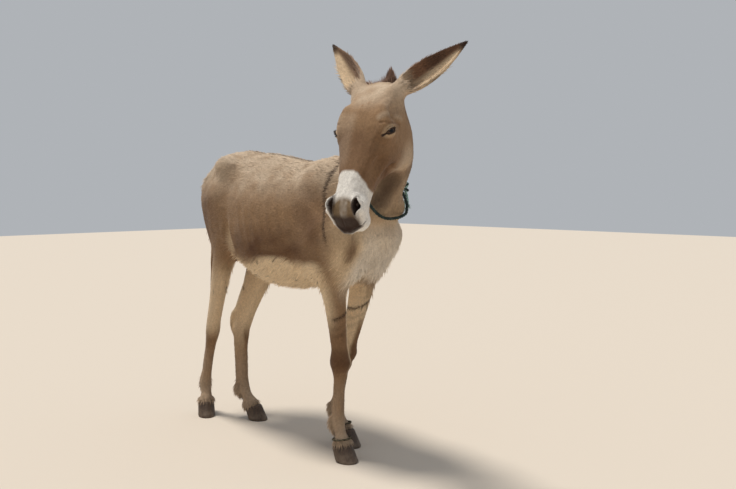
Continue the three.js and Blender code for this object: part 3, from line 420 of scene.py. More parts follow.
def finer(p, f, chosen):
    """Cuts the chosen triangles into four, and their neighbours to fit."""
    e = np.stack([f, np.roll(f, -1, axis=1)], axis=2)
    e.sort(axis=2)
    key = e[:, :, 0].astype(np.int64) << 32 | e[:, :, 1]
    cut_keys = np.unique(key[chosen])
    split = np.isin(key, cut_keys)
    new = {k: len(p) + i for i, k in enumerate(cut_keys.tolist())}
    ends = np.stack([cut_keys >> 32, cut_keys & 0xFFFFFFFF], axis=1)
    points = np.concatenate([p, p[ends].mean(1)])
    total = split.sum(1)
    out = [f[total == 0]]
    for i in np.where(total > 0)[0]:
        v = f[i].tolist()
        m = [new.get(int(k)) for k in key[i]]
        if total[i] == 3:
            out.append([[v[0], m[0], m[2]], [m[0], v[1], m[1]], [m[2], m[1], v[2]], m])
        elif total[i] == 1:
            k = [x is not None for x in m].index(True)
            a, b, c = v[k], v[(k + 1) % 3], v[(k + 2) % 3]
            out.append([[a, m[k], c], [m[k], b, c]])
        else:
            k = [x is None for x in m].index(True)
            a, b, c = v[k], v[(k + 1) % 3], v[(k + 2) % 3]
            mb, mc = m[(k + 1) % 3], m[(k + 2) % 3]
            out.append([[a, b, mb], [a, mb, mc], [mc, mb, c]])
    return points, np.concatenate([np.array(t, np.int64).reshape(-1, 3) for t in out])


# ---------------------------------------------------------------- the shapes of the head
EYE_WAY = (0.06, 0.90, 0.43)  # the way an eye looks, in the head's frame, on its left side
SLIT_WAY = (-0.70, 0.22, -0.56)  # from its front corner to its back corner
HOLLOWS = {"ear_left": (0.05, 0.55, 0.90), "ear_right": (0.20, -0.10, 0.90)}  # the way an ear's inside faces
NOSTRIL = (397.0, 37.5, -22.0)
NOSE_ASIDE = 6.5  # the relaxed nose hangs this far towards the left
BROW = [(130, 66, 8), (114, 80, -2), (99, 85, -30), (93, 85, -70)]
BROW_GROOVE = [(146, 72, 2), (138, 86, -14), (122, 90, -44), (112, 88, -70)]
MOUTH = [(452, 0, -78), (449, 18, -77), (438, 38, -75), (420, 52, -78), (402, 57, -84), (388, 54, -92)]


def eye_frame(side):
    flip = np.array([1.0, side, 1.0])
    out = unit(np.array(EYE_WAY)) * flip
    along = np.array(SLIT_WAY) * flip
    along = unit(along - out * (along @ out))
    above = np.cross(out, along)
    if above[0] > 0:
        above = -above
    node = "eye_left" if side > 0 else "eye_right"
    lo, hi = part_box(node)
    return on_head(middle(node)[None])[0], (hi[2] - lo[2]) * 500.0, out, along, above


def slit_edges(s):
    """Height of the upper and of the lower lid's edge along the slit, s from -1 to 1."""
    h = bpy.context.scene.donkey_head
    bow = np.sqrt(np.clip(1 - s * s, 0, 1))
    top = h.slit_up * 1000 * bow ** 1.3 * (1 + 0.25 * s)
    low = -h.slit_down * 1000 * bow ** 1.4 * (1 - 0.1 * s)
    return top, low


def shape_eyes(q):
    """Lids that lie on the eyeball, the fold above them and the hollow below the brow."""
    h = bpy.context.scene.donkey_head
    half = h.slit_long * 1000
    for side in (1, -1):
        c, ball, out, along, above = eye_frame(side)
        d = q - c
        r = np.linalg.norm(d, axis=1)
        near = (r < 62) & (d @ out > -6)
        d, r = d[near], r[near]
        s, t, o = d @ along, d @ above, d @ out
        way = d / r[:, None]
        on_ball = way * (ball + h.lid * 1000)
        bs, bt = on_ball @ along, on_ball @ above
        top, low = slit_edges(np.clip(bs / half, -1, 1))
        # the lids close on the ball near the slit and run out into the face
        away = np.hypot(s / 31.0, (t - 2.0) / 24.0)
        hold = 1 - ramp(away, 0.55, 1.05)
        front = ramp(way @ out, 0.05, 0.4)
        lidded = r + (ball + h.lid * 1000 - r) * hold * front
        # fold above the upper lid, crease between them, and a soft bag below
        crease = hill((t - 11.0 + 0.012 * s * s) / 3.4) * hill(s / 30.0)
        fold = hill((t - 17.0 + 0.010 * s * s) / 6.0) * hill(s / 34.0)
        bag = hill((t + 17.0 - 0.008 * s * s) / 7.0) * hill(s / 30.0)
        under = hill((t + 11.0 - 0.008 * s * s) / 3.0) * hill(s / 26.0)
        corner = hill(np.hypot((s + 23.0) / 7.5, (t + 1.0) / 3.0))
        corner += 0.7 * hill(np.hypot((s - 20.0) / 5.0, t / 3.0))
        lidded += front * (2.4 * fold - 1.6 * crease + 1.0 * bag - 0.8 * under - 1.8 * corner)
        lidded = np.maximum(lidded, (ball + 1.3) * ramp(way @ out, -0.25, -0.05))
        # inside the slit the skin sinks behind the ball
        inside = ramp(np.minimum(top - bt, bt - low), -0.35, 0.55) * (np.abs(bs) < half) * (o > 0)
        lidded = lidded * (1 - inside) + (ball * 0.86) * inside
        q[near] = c + way * lidded[:, None]
    return q


def nostril_share(q):
    """How far into the comma-shaped opening a point is: over 0 is inside, in millimetres."""
    s, t = np.abs(q[:, 1] - NOSE_ASIDE) - NOSTRIL[1], q[:, 0] - NOSTRIL[0]
    bend = s - 5.0 * np.cos(t / 20.0)  # curved towards the outer side
    wide = 8.0 - 3.2 * ramp(t, 0, 20) - 1.4 * ramp(-t, 6, 20)
    share = (1 - np.hypot(bend / np.maximum(wide, 2.0), t / 21.0)) * 9.0
    return np.where((q[:, 2] > -56) & (q[:, 0] > 330), share, OUTSIDE)


def line_gap(q, line):
    """Distance in millimetres to a line through the head's points, laid on both sides."""
    line = np.array(line, float)
    points = np.stack([q[:, 0], np.abs(q[:, 1]), q[:, 2]], axis=1)
    best = np.full(len(q), 99.0)
    near = np.where((points > line.min(0) - 60).all(1) & (points < line.max(0) + 60).all(1))[0]
    points = points[near]
    for start, end in zip(line[:-1], line[1:]):
        d = end - start
        k = np.clip((points - start) @ d / (d @ d), 0, 1)
        best[near] = np.minimum(best[near], np.linalg.norm(points - (start + k[:, None] * d), axis=1))
    return best


def brow_folds(q):
    """Shares of the heavy fold that runs back over each eye, and of the groove under it."""
    return hill(line_gap(q, BROW) / 15.0), hill(line_gap(q, BROW_GROOVE) / 8.0)


def shape_face(q):
    """Brow, cheeks, nostrils, lips and wrinkles of the face."""
    h = bpy.context.scene.donkey_head
    way = MADE["normals"] @ MADE["head"][1].T
    side = np.where(q[:, 1] >= 0, 1.0, -1.0)
    a = np.abs(q[:, 1])
    u, w = q[:, 0], q[:, 2]
    rise = np.zeros(len(q))

    def at(c, r):
        return hill(np.sqrt(((u - c[0]) / r[0]) ** 2 + ((a - c[1]) / r[1]) ** 2 + ((w - c[2]) / r[2]) ** 2))

    ridge, groove = brow_folds(q)
    rise += 2.6 * ridge * (0.25 + 0.75 * ramp(-w, -4, 22)) - 2.0 * groove
    rise += 2.4 * at((98, 82, -36), (20, 18, 20))
    rise -= 1.6 * at((62, 70, -34), (24, 18, 28))  # hollow above the eye
    rise += 1.6 * hill(np.hypot((a - 61 + (u - 190) * 0.10) / 9.0, (w + 52 + (u - 190) * 0.28) / 9.0)) * ramp(
        u, 160, 195
    ) * (1 - ramp(u, 250, 285))  # crest of the cheekbone
    rise -= 2.5 * at((275, 46, -70), (50, 18, 26))  # hollow before the cheek
    rise += 1.5 * at((150, 40, -150), (70, 30, 50))  # cheek muscle
    rise -= 2.2 * at((222, 44, -148), (20, 20, 44))
    rise += 1.6 * at((330, 20, -8), (70, 18, 20))  # edge of the nose bone
    rise -= 1.2 * at((60, 0, 6), (50, 10, 30))
    # nostril wing and the soft roll round it
    s = np.abs(q[:, 1] - NOSE_ASIDE) - NOSTRIL[1]
    comma = nostril_share(q)
    open_here = ramp(w, -52, -40) * ramp(way[:, 2], -0.1, 0.25)
    rise += 3.2 * np.exp(-((comma + 3.0) / 3.0) ** 2) * open_here * ramp(u, 340, 370) * ramp(s, -16, 4)
    rise -= 2.0 * at((352, 40, -20), (22, 14, 16))  # above the nostril
    # lips: mouth line, groove of the upper lip, chin
    best = line_gap(q, MOUTH)
    rise -= 5.0 * np.exp(-((best / 2.6) ** 2))
    rise += 1.6 * np.exp(-(((best - 6.5) / 4.0) ** 2))
    rise -= 1.4 * at((430, 0, -50), (26, 4, 26))
    # fine wrinkles of the muzzle and under the eyes
    wrinkles = 0.5 * np.sin(u * 0.85 + 3 * speckle(q, 26, 5)) * ramp(u, 330, 360)
    rise += wrinkles * (1 - ramp(u, 380, 400)) * ramp(a, 18, 40)
    q += way * rise[:, None]
    sink = ramp(comma, -0.6, 1.2) * open_here
    inward = unit(np.stack([np.full(len(q), -0.35), -0.28 * side, np.full(len(q), -0.9)], axis=1))
    q += inward * (sink * h.nostril_deep * 1000 * (0.55 + 0.45 * ramp(comma, 0, 6)))[:, None]
    return q


# ---------------------------------------------------------------- the shapes of the body
def leg_axes():
    """Middle of each fetlock, knee or hock, from the boxes of the cannons."""
    out = {}
    for leg in LEGS:
        p, _ = arrays_of(NODES["cannon_" + leg])
        lo, hi = p[:, 2].min(), p[:, 2].max()
        low = p[p[:, 2] < lo + 0.03].mean(0)
        top = p[p[:, 2] > hi - 0.03].mean(0)
        hoof = middle("hoof_" + leg)
        ahead = unit((hoof - low)[:2])
        out[leg] = (low, top, np.array([ahead[0], ahead[1], 0.0]))
    return out


def shape_body(p, n):
    """Muscles, folds and tendons that show through the coat."""
    mid = middle("tail")[1]
    y = p[:, 1] - mid
    a = np.abs(y)
    x, z = p[:, 0], p[:, 2]
    rise = np.zeros(len(p))

    def at(c, r):
        return hill(np.sqrt(((x - c[0]) / r[0]) ** 2 + ((a - c[1]) / r[1]) ** 2 + ((z - c[2]) / r[2]) ** 2))

    def crease(start, end, wide, deep, sign=0):
        """A fold along a line, with a soft roll on either side of it."""
        s, e = np.array(start), np.array(end)
        b = np.stack([x, a if sign == 0 else y, z], axis=1)
        d = e - s
        k = np.clip((b - s) @ d / (d @ d), 0, 1)
        gap = np.linalg.norm(b - (s + k[:, None] * d), axis=1)
        fade = np.clip(np.minimum(k, 1 - k) * 5, 0.15, 1)
        roll = 0.45 * np.exp(-(((gap - 2.1 * wide) / (1.3 * wide)) ** 2))
        return deep * fade * (-np.exp(-((gap / wide) ** 2)) + roll)

    rise += crease((-0.29, 0.17, 0.62), (-0.33, 0.17, 0.80), 0.014, 0.010)  # flank
    rise += crease((0.215, 0.05, 0.80), (0.30, 0.095, 0.70), 0.010, 0.007)  # breast
    rise += crease((0.275, 0.02, 0.815), (0.315, 0.075, 0.76), 0.009, 0.007)
    rise += crease((0.09, 0.115, 0.655), (0.02, 0.15, 0.60), 0.012, 0.007)  # elbow
    rise += crease((0.06, 0.15, 0.93), (0.20, 0.13, 0.78), 0.020, 0.005)  # edge of the shoulder blade
    rise -= 0.004 * at((-0.43, 0.135, 0.955), (0.07, 0.05, 0.06))
    for i in range(7):  # the ribs barely show
        rx = 0.02 - 0.042 * i
        lean = rx - (z - 0.82) * 0.35
        rise += 0.0011 * np.cos(np.clip((x - lean) / 0.021, -1, 1) * math.pi) * ramp(a, 0.12, 0.16) * hill(
            (z - 0.80) / 0.17
        )
    for leg, (low, top, ahead) in MADE["legs"].items():
        near = (np.abs(y - ((low + top)[1] / 2 - mid)) < 0.11) & (z < top[2] + 0.16) & (z > 0.04)
        near &= np.abs(x - (low + top)[0] / 2) < 0.14
        i = np.where(near)[0]
        aside = np.array([-ahead[1], ahead[0], 0.0])
        k = np.clip((z[i] - low[2]) / (top[2] - low[2]), -0.3, 1.3)[:, None]
        rel = p[i] - (low + (top - low) * k)
        fore, out = rel @ ahead, rel @ aside
        shaft = ramp(z[i], 0.115, 0.15) * (1 - ramp(z[i], top[2] - 0.05, top[2] - 0.01))
        groove = np.exp(-(((fore + 0.004) / 0.0045) ** 2)) * ramp(np.abs(out), 0.006, 0.011)
        rise[i] -= 0.0030 * groove * shaft  # between bone and tendon
        rise[i] += 0.0016 * np.exp(-(((fore + 0.015) / 0.006) ** 2)) * shaft
        if leg.startswith("fore"):  # bones of the knee
            rise[i] += 0.0025 * hill((z[i] - top[2] - 0.036) / 0.020) * ramp(fore, 0.0, 0.02)
            rise[i] -= 0.0020 * hill((z[i] - top[2] - 0.004) / 0.012) * ramp(fore, 0.0, 0.02)
            rise[i] += 0.0020 * hill((z[i] - top[2] + 0.020) / 0.016) * ramp(fore, 0.0, 0.02)
        else:
            behind = np.exp(-(((fore + 0.022) / 0.012) ** 2))
            rise[i] -= 0.0035 * hill((z[i] - top[2] - 0.075) / 0.045) * behind
    rise += 0.0022 * (speckle(p, 0.055, 3) - 0.5) * ramp(z, 0.45, 0.6)
    return p + n * rise[:, None]


# ---------------------------------------------------------------- markings
CROSS_Z = (0.70, 0.74, 0.80, 0.85, 0.90, 0.94, 0.98, 1.06)  # the shoulder line, from its foot up
CROSS_X = (0.215, 0.206, 0.195, 0.183, 0.177, 0.184, 0.187, 0.200)


def by_ear(p, node):
    """Which points are close enough to an ear to be its own."""
    root, tip = MADE["ears"][node]
    return np.linalg.norm(p - (root + tip) / 2, axis=1) < EAR_REACH


def region_shares(p):
    """Shares from 0 to 1 of how much a point belongs to the head, the ears and the lower legs."""
    ears = np.zeros(len(p))
    for root, tip in MADE["ears"].values():
        way = tip - root
        long = np.linalg.norm(way)
        k = (p - root) @ way / long ** 2
        off = np.linalg.norm(p - root - k[:, None] * way, axis=1)
        ears = np.maximum(ears, ramp(k, -0.10, 0.06) * (off < 0.075))
    at, way = MADE["join"]
    head = ramp((p - at) @ way, 0.005, 0.035)
    legs = 1 - ramp(p[:, 2], 0.30, 0.62)
    return np.clip(head, 0, 1), ears, legs


def markings(p, n, q, comma=None):
    """The coat's marks as shares from 0 to 1: what the skin and every tuft are coloured by."""
    head, ears, legs = region_shares(p)
    mid = middle("tail")[1]
    y = p[:, 1] - mid
    a = np.abs(y)
    x, z = p[:, 0], p[:, 2]
    u, v, w = q[:, 0], q[:, 1], q[:, 2]
    av = np.abs(v)
    rough = speckle(p, 0.035, 1) - 0.5
    fine = speckle(p, 0.009, 2) - 0.5
    body = (1 - head) * (1 - ears)

    # cream below: belly, breast, inner legs
    edge = 0.615 + 0.035 * ramp(x, -0.30, -0.05) - 0.012 * ramp(x, -0.05, 0.10) + 0.02 * rough
    pale = (1 - ramp(z, edge, edge + 0.035)) * ramp(z, 0.40, 0.5)
    pale = pale * ramp(x, -0.36, -0.26) * (1 - ramp(x, 0.13, 0.2))
    pale = np.maximum(pale, ramp(-n[:, 2], 0.35, 0.8) * (z > 0.5) * (x > -0.33) * (x < 0.16))
    chest = hill(np.hypot((y + 0.096 + 0.18 * (z - 0.66)) / 0.028, (z - 0.71) / 0.09)) * ramp(x, 0.2, 0.25)
    breast = ramp(x, 0.16, 0.26) * (1 - ramp(z, 0.90, 1.02)) * ramp(z, 0.50, 0.6)
    low_breast = 1 - ramp(z, 0.68, 0.84)
    bib = (0.35 + 0.65 * low_breast) * breast * (1 - 0.45 * ramp(a, 0.10, 0.15))
    pale = np.maximum(pale, bib * (0.95 + 0.5 * rough))
    inner = np.where(y > 0, -n[:, 1], n[:, 1])
    pale = np.maximum(pale, 0.85 * ramp(inner, 0.15, 0.7) * ramp(z, 0.22, 0.4) * (z < 0.72))
    back_of_thigh = ramp(-x, 0.50, 0.60) * ramp(z, 0.42, 0.5) * (1 - ramp(z, 0.74, 0.86))
    gaskin = ramp(-x, 0.30, 0.38) * ramp(z, 0.30, 0.38) * (1 - ramp(z, 0.55, 0.66))
    pale = np.maximum(pale, 0.70 * np.maximum(back_of_thigh, gaskin))
    flank = hill(np.hypot((x + 0.315) / 0.030, (z - 0.71) / 0.10)) * ramp(a, 0.08, 0.12)
    pale = np.maximum(pale, 0.5 * flank)
    pale = pale * body * (1 - 0.8 * chest)

    # dusty back, croup, neck's top and forehead, and paler still where the skin faces up: painted light from
    # above
    dust_and_light = ramp(z, 0.82, 0.97) * (0.70 + 0.9 * rough) * body
    # painted light from above: paler where the skin faces up
    dust_and_light = dust_and_light + 0.25 * ramp(n[:, 2], 0.2, 0.9) * body * (z > 0.7)
    brow = head * (1 - ramp(u, 40, 120)) * ramp(w, -110, -40)
    dust_and_light = np.maximum(dust_and_light, brow * (0.75 + 0.8 * rough))
    fleck = head * hill(np.hypot((u - 88) / 44, v / 30)) * ramp(fine, 0.05, 0.22)
    jowl = head * ramp(-w, 120, 190) * ramp(u, 90, 140) * (1 - ramp(u, 205, 235))
    # painted light on the side of the face that the light falls on
    lit = head * ramp(-v, 0, 30) * ramp(u, 90, 130) * (1 - ramp(u, 250, 300))
    dust_and_light = np.maximum(dust_and_light, np.maximum(0.75 * jowl, 0.35 * lit))
    dust_and_light = np.maximum(dust_and_light, (0.30 + 0.35 * (1 - ramp(z, 0.10, 0.17))) * body * (1 - ramp(z, 0.20, 0.30)))
    dust_and_light = np.clip(dust_and_light * (1 - 0.8 * fleck), 0, 1)

    # browner: flank, lower sides, legs, cheeks, and painted shade under the jaw and on the throat
    brown = hill(np.hypot((x + 0.08) / 0.36, (z - 0.69) / 0.13)) * ramp(a, 0.05, 0.12) * 0.95
    shoulder = hill(np.hypot((x - 0.12) / 0.12, (z - 0.78) / 0.17))
    brown = np.maximum(brown, 0.62 * shoulder * ramp(a, 0.04, 0.1))
    brown = np.maximum(brown, legs * (0.12 + 0.65 * hill((z - 0.47) / 0.15) * ramp(x, -0.1, 0.0)))
    thigh = hill(np.hypot((x + 0.52) / 0.20, (z - 0.80) / 0.18))
    brown = np.maximum(brown, 0.75 * thigh * ramp(a, 0.06, 0.11))
    brown = brown * body * (0.75 + 0.8 * rough)
    cheek = 0.50 * ramp(u, 140, 190) * (1 - ramp(u, 300, 350))
    cheek = head * (1 - jowl) * (cheek + 0.35 * hill(np.hypot((u - 232) / 46, (w + 130) / 60)))
    brown = np.maximum(brown, cheek * (0.9 + 0.6 * rough))
    # the jaw's underside browner: painted shade under the head over its own brown
    under = ramp(-w - 0.30 * (u - 200), 96, 140) * ramp(u, 190, 260)
    brown = np.maximum(brown, 0.95 * head * under * (1 - ramp(u, 350, 385)))
    # the throat below the head browner: painted shade over its own brown
    throat = ramp(x, 0.22, 0.30) * ramp(z, 0.80, 0.88) * (1 - head)
    # painted shadow on the throat close behind the jaw: browner, and near black at its core
    jaw_foot, jaw_way = np.array([0.366, 0.026, 0.872]), np.array([0.048, 0.006, 0.070])
    k = np.clip((p - jaw_foot) @ jaw_way / (jaw_way @ jaw_way), 0, 1)[:, None]
    fold = hill(np.linalg.norm(p - jaw_foot - k * jaw_way, axis=1) / 0.060)  # the throat close behind the jaw
    brown = np.maximum(brown, np.maximum(0.85 * throat * (0.8 + 0.6 * rough), 1.6 * fold))
    brown = np.maximum(brown, 0.8 * chest)
    for leg, (low, top, _) in MADE["legs"].items():
        near = hill(np.hypot(x - low[0], y + mid - low[1]) / 0.12)
        brown = np.maximum(brown, 0.16 * near * (1 - ramp(z, 0.09, 0.15)))
        near = hill(np.hypot(x - top[0], y + mid - top[1]) / 0.12)
        fore = leg.startswith("fore")
        height = top[2] + (0.045 if fore else 0.05)
        brown = np.maximum(brown, (0.85 if fore else 0.5) * near * hill((z - height) / 0.075))

    # dark: the line down the back, the cross on the shoulders, bars on the forearms
    dark = hill(a / 0.016) * ramp(n[:, 2], 0.25, 0.6) * (z > 0.85) * body * (0.75 + 0.5 * fine)
    dark = np.maximum(dark, hill(a / 0.02) * ramp(-x, 0.62, 0.64) * (z > 0.6) * 0.8)
    # near black at the core of the painted shadow behind the jaw
    dark = np.maximum(dark, 0.7 * np.clip(1.4 * fold - 0.4, 0, 1))
    cross_x = np.interp(z, CROSS_Z, CROSS_X)
    cross = hill((x - cross_x) / 0.0085) * ramp(z, 0.70, 0.76) * ramp(a, 0.03, 0.05)
    dark = np.maximum(dark, cross * body)
    for leg, (_, top, ahead) in MADE["legs"].items():
        if not leg.startswith("fore"):
            continue
        near = (np.hypot(x - top[0], y + mid - top[1]) < 0.13) & (z < 0.55)
        for lift, strength in ((0.212, 1.0), (0.150, 0.25), (0.178, 0.2)):
            slant = z - (top[2] + lift) - (p - top) @ np.array([-ahead[1], ahead[0], 0.0]) * 0.75
            bar = hill(slant / 0.0085) * near * ramp((p - top) @ ahead, -0.012, 0.012)
            dark = np.maximum(dark, strength * bar)
    spots = ramp(speckle(p, 0.022, 8), 0.80, 0.88) * ramp(pale, 0.5, 0.8) * (z > 0.5) * (x < 0.12)
    dark = np.maximum(dark, 0.7 * spots)

    # ears: dark edges and tips, warm inside, and painted shadow in the upper half of each hollow
    inside = np.zeros(len(p))
    for node in EARS:
        root, tip = MADE["ears"][node]
        hollow = MADE["hollows"][node]
        way = tip - root
        long = np.linalg.norm(way)
        way = way / long
        k = (p - root) @ way / long
        across = np.cross(way, hollow)
        s = (p - root - (k * long)[:, None] * way) @ across
        near = ears * (np.linalg.norm(p - root - (k * long)[:, None] * way, axis=1) < 0.06) * (k > 0)
        wide = 0.040 * np.sqrt(np.clip(1 - ((k - 0.38) / 0.66) ** 2, 0.02, 1))
        rim = ramp(np.abs(s) / wide, 0.80, 0.97)
        dark = np.maximum(dark, near * np.clip(0.8 * rim * ramp(k, 0.15, 0.4) + ramp(k, 0.80, 0.92), 0, 1))
        face = ramp(n @ hollow, 0.0, 0.45)
        upper = ramp(s * np.sign(across[2]) / wide, -0.20, 0.25)
        deep = 1.0 if node == "ear_left" else 0.6
        inside = np.maximum(inside, near * face * ramp(k, 0.06, 0.2) * (0.2 + 0.8 * deep * upper))
        # painted shadow in the upper half of the hollow, stronger in the left ear
        dark = np.maximum(dark, near * face * 0.62 * deep * upper * ramp(k, 0.25, 0.5))
        lower = near * face * 0.95 * (1 - upper) * ramp(k, 0.05, 0.2)
        pale = np.maximum(pale, lower * (1 - ramp(k, 0.75, 0.9)))
        pale = np.maximum(pale, near * (1 - face) * 0.35 * (1 - ramp(k, 0.5, 0.8)))

    # white muzzle with a dark nose, rings round the eyes
    top = 291 + 38 * ramp(av, 24, 64) + 0.25 * np.maximum(-w - 42, 0) + 12 * rough + 4 * fine
    white = head * ramp(u, top - 4, top + 6)
    side = head * ramp(u, 360, 384) * ramp(-w, 20, 60)
    white = np.maximum(white, side)
    white = np.maximum(white, 0.6 * body * low_breast * breast * ramp(y, -0.10, -0.06) * (1 - chest))
    ridge, groove = brow_folds(q)
    # painted highlight on the brow's ridge and painted shade in the groove under it
    dust_and_light = np.maximum(dust_and_light, 0.5 * ridge * head)
    brown = np.maximum(brown, 0.45 * groove * head)
    ring = np.zeros(len(p))
    lash = np.zeros(len(p))
    for s_ in (1, -1):
        c, ball, out, along, above = eye_frame(s_)
        d = q - c
        near = (np.linalg.norm(d, axis=1) < 60) & (d @ out > 0)
        s, t = d @ along, d @ above
        ring = np.maximum(ring, near * (1 - ramp(np.hypot(s / 30, (t - 1) / 19), 0.75, 1.15)))
        b = unit(d) * (ball + 2.6)
        bs, bt = b @ along, b @ above
        half = bpy.context.scene.donkey_head.slit_long * 1000
        top_, low_ = slit_edges(np.clip(bs / half, -1, 1))
        gap = np.maximum(bt - top_, low_ - bt)
        gap = np.where(np.abs(bs) < half, gap, np.hypot(bt, np.maximum(np.abs(bs) - half, 0) * 0.22))
        edging = near * (1 - ramp(gap, 1.9, 3.6)) * (1 - ramp(s, 26, 30))
        lash = np.maximum(lash, edging * (1 - ramp(-s, 30, 35)))
    pale = np.maximum(pale, 0.22 * ring * head)
    brown = brown * (1 - 0.5 * ring)
    if comma is None:
        comma = nostril_share(q)
    vn = np.abs(v - NOSE_ASIDE)  # from the middle of the nose
    nose = head * hill(np.hypot((u - 410) / 50, vn / 56)) * ramp(w, -80, -56) * 2.4
    nose = np.clip(nose, 0, 1) * (1 - 0.40 * hill((vn - 4) / 13) * ramp(u, 368, 380) * (0.6 + 0.8 * fine))
    lips = head * ramp(u + 0.10 * vn, 416, 430) * (1 - ramp(vn, 34, 48)) * ramp(w, -96, -76)
    lips = np.maximum(lips, head * hill(line_gap(q, MOUTH) / 4.5) * 0.95)
    lips = lips * (1 - 0.75 * ramp(-w, 84, 90) * ramp(u, 425, 440))
    # inside the nostril near black: its dark skin, with painted shade of the cavity
    dark = np.maximum(dark, head * ramp(comma, -1.6, 0.2))
    dark = np.maximum(dark, 0.75 * head * ramp(comma, -12, -2) * (1 - ramp(vn, 38, 52)))
    dark = np.maximum(dark, lips)
    dark = np.maximum(dark, lash)
    return {
        "pale": np.clip(pale, 0, 1),
        "dust_and_light": dust_and_light,
        "brown": np.clip(brown, 0, 1),
        "dark": np.clip(dark, 0, 1),
        "white": np.clip(white, 0, 1),
        "nose": nose,
        "ear": np.clip(inside, 0, 1),
    }


# ---------------------------------------------------------------- materials
def add_node(tree, kind, **values):
    n = tree.nodes.new(kind)
    for key, value in values.items():
        if key in n.inputs:
            n.inputs[key].default_value = value
        else:
            setattr(n, key, value)
    return n


def noise(tree, grain, detail=3.0, stretch=(1.0, 1.0, 1.0)):
    """Noise in the row's frame that changes over about one grain."""
    place = add_node(tree, "ShaderNodeTexCoord")
    scale = add_node(tree, "ShaderNodeMapping")
    scale.inputs["Scale"].default_value = stretch
    n = add_node(tree, "ShaderNodeTexNoise", Scale=1.0 / grain, Detail=detail, Roughness=0.6)
    tree.links.new(place.outputs["Object"], scale.inputs["Vector"])
    tree.links.new(scale.outputs["Vector"], n.inputs["Vector"])
    return n.outputs["Fac"]


def feed(tree, socket, value):
    """Links another node's output to a socket, or sets the socket's own value."""
    if isinstance(value, bpy.types.NodeSocket):
        tree.links.new(value, socket)
    else:
        socket.default_value = (*value, 1.0) if socket.type == "RGBA" else value


def mixed(tree, fac, a, b):
    m = tree.nodes.new("ShaderNodeMix")
    m.data_type = "RGBA"
    for i, value in ((0, fac), (6, a), (7, b)):
        feed(tree, m.inputs[i], value)
    return m.outputs[2]


def product(tree, a, b):
    m = add_node(tree, "ShaderNodeMath", operation="MULTIPLY")
    for socket, value in zip(m.inputs, (a, b)):
        feed(tree, socket, value)
    return m.outputs[0]


def toned(tree, col, value):
    """A colour made darker or lighter."""
    tint = tree.nodes.new("ShaderNodeHueSaturation")
    tree.links.new(col, tint.inputs["Color"])
    tree.links.new(value, tint.inputs["Value"])
    return tint.outputs["Color"]


def bumped(tree, shader, height, strength, distance):
    bump = add_node(tree, "ShaderNodeBump", Strength=strength, Distance=distance)
    tree.links.new(height, bump.inputs["Height"])
    tree.links.new(bump.outputs["Normal"], shader.inputs["Normal"])


def times(base, k):
    return tuple(v * k for v in base)


def ranged(tree, value, lo, hi, to_lo=0.0, to_hi=1.0):
    m = add_node(tree, "ShaderNodeMapRange")
    for name, v in (("From Min", lo), ("From Max", hi), ("To Min", to_lo), ("To Max", to_hi)):
        m.inputs[name].default_value = v
    tree.links.new(value, m.inputs["Value"])
    return m.outputs["Result"]


def mark(tree, name):
    n = tree.nodes.new("ShaderNodeAttribute")
    n.attribute_name = name
    return n.outputs["Fac"]


def coat_group():
    """The colour of skin and coat from their marks, with the rough grain of hair over it."""
    if "coat_colour" in bpy.data.node_groups:
        return bpy.data.node_groups["coat_colour"]
    c = bpy.context.scene.donkey_colours
    tree = bpy.data.node_groups.new("coat_colour", "ShaderNodeTree")
    for name, kind in (("Color", "Color"), ("Roughness", "Float"), ("Height", "Float")):
        tree.interface.new_socket(name, in_out="OUTPUT", socket_type="NodeSocket" + kind)
    out = tree.nodes.new("NodeGroupOutput")
    wide, fine = noise(tree, 0.06), noise(tree, 0.007, 4.0)
    hair = noise(tree, 0.0022, 2.0, (1.0, 1.0, 0.45))
    base = mixed(tree, ranged(tree, wide, 0.35, 0.7, 0.0, 0.45), c.dun, times(c.dun, 0.74))
    for name in ("dust_and_light", "brown", "pale", "ear", "white", "nose", "dark"):
        base = mixed(tree, mark(tree, name), base, getattr(c, name))
    grain, strand = ranged(tree, fine, 0.25, 0.75, 0.80, 1.16), ranged(tree, hair, 0.3, 0.7, 0.90, 1.08)
    own = ranged(tree, mark(tree, "shade"), 0.0, 1.0, 0.70, 1.30)
    shade = product(tree, product(tree, grain, strand), own)
    tree.links.new(toned(tree, base, shade), out.inputs["Color"])
    tree.links.new(ranged(tree, mark(tree, "nose"), 0.0, 1.0, 0.86, 0.55), out.inputs["Roughness"])
    tree.links.new(hair, out.inputs["Height"])
    return tree


def principled(m):
    return m.node_tree.nodes["Principled BSDF"]


def plain(name, base, rough):
    m = bpy.data.materials.get(name)
    if m:
        return m
    m = bpy.data.materials.new(name)
    m.use_nodes = True
    principled(m).inputs["Base Color"].default_value = (*base, 1.0)
    principled(m).inputs["Roughness"].default_value = rough
    return m


def coat_material(name, bumpiness, sheen):
    if name in bpy.data.materials:
        return bpy.data.materials[name]
    c = bpy.context.scene.donkey_colours
    m = plain(name, c.dun, 0.85)
    tree, b = m.node_tree, principled(m)
    g = tree.nodes.new("ShaderNodeGroup")
    g.node_tree = coat_group()
    tree.links.new(g.outputs["Color"], b.inputs["Base Color"])
    tree.links.new(g.outputs["Roughness"], b.inputs["Roughness"])
    b.inputs["Sheen Weight"].default_value = sheen
    b.inputs["Sheen Roughness"].default_value = 0.5
    b.inputs["Specular IOR Level"].default_value = 0.25
    if bumpiness:
        bumped(tree, b, g.outputs["Height"], bumpiness, 0.0012)
    return m


def strand_material(name, base, tip, rough=0.7):
    """Hair or cord: darker and lighter strands by their shade, and a lighter tip."""
    if name in bpy.data.materials:
        return bpy.data.materials[name]
    m = plain(name, base, rough)
    tree, b = m.node_tree, principled(m)
    col = mixed(tree, ranged(tree, mark(tree, "along"), 0.3, 1.0), base, tip)
    shade = ranged(tree, mark(tree, "shade"), 0.0, 1.0, 0.55, 1.5)
    tree.links.new(toned(tree, col, shade), b.inputs["Base Color"])
    b.inputs["Specular IOR Level"].default_value = 0.3
    return m


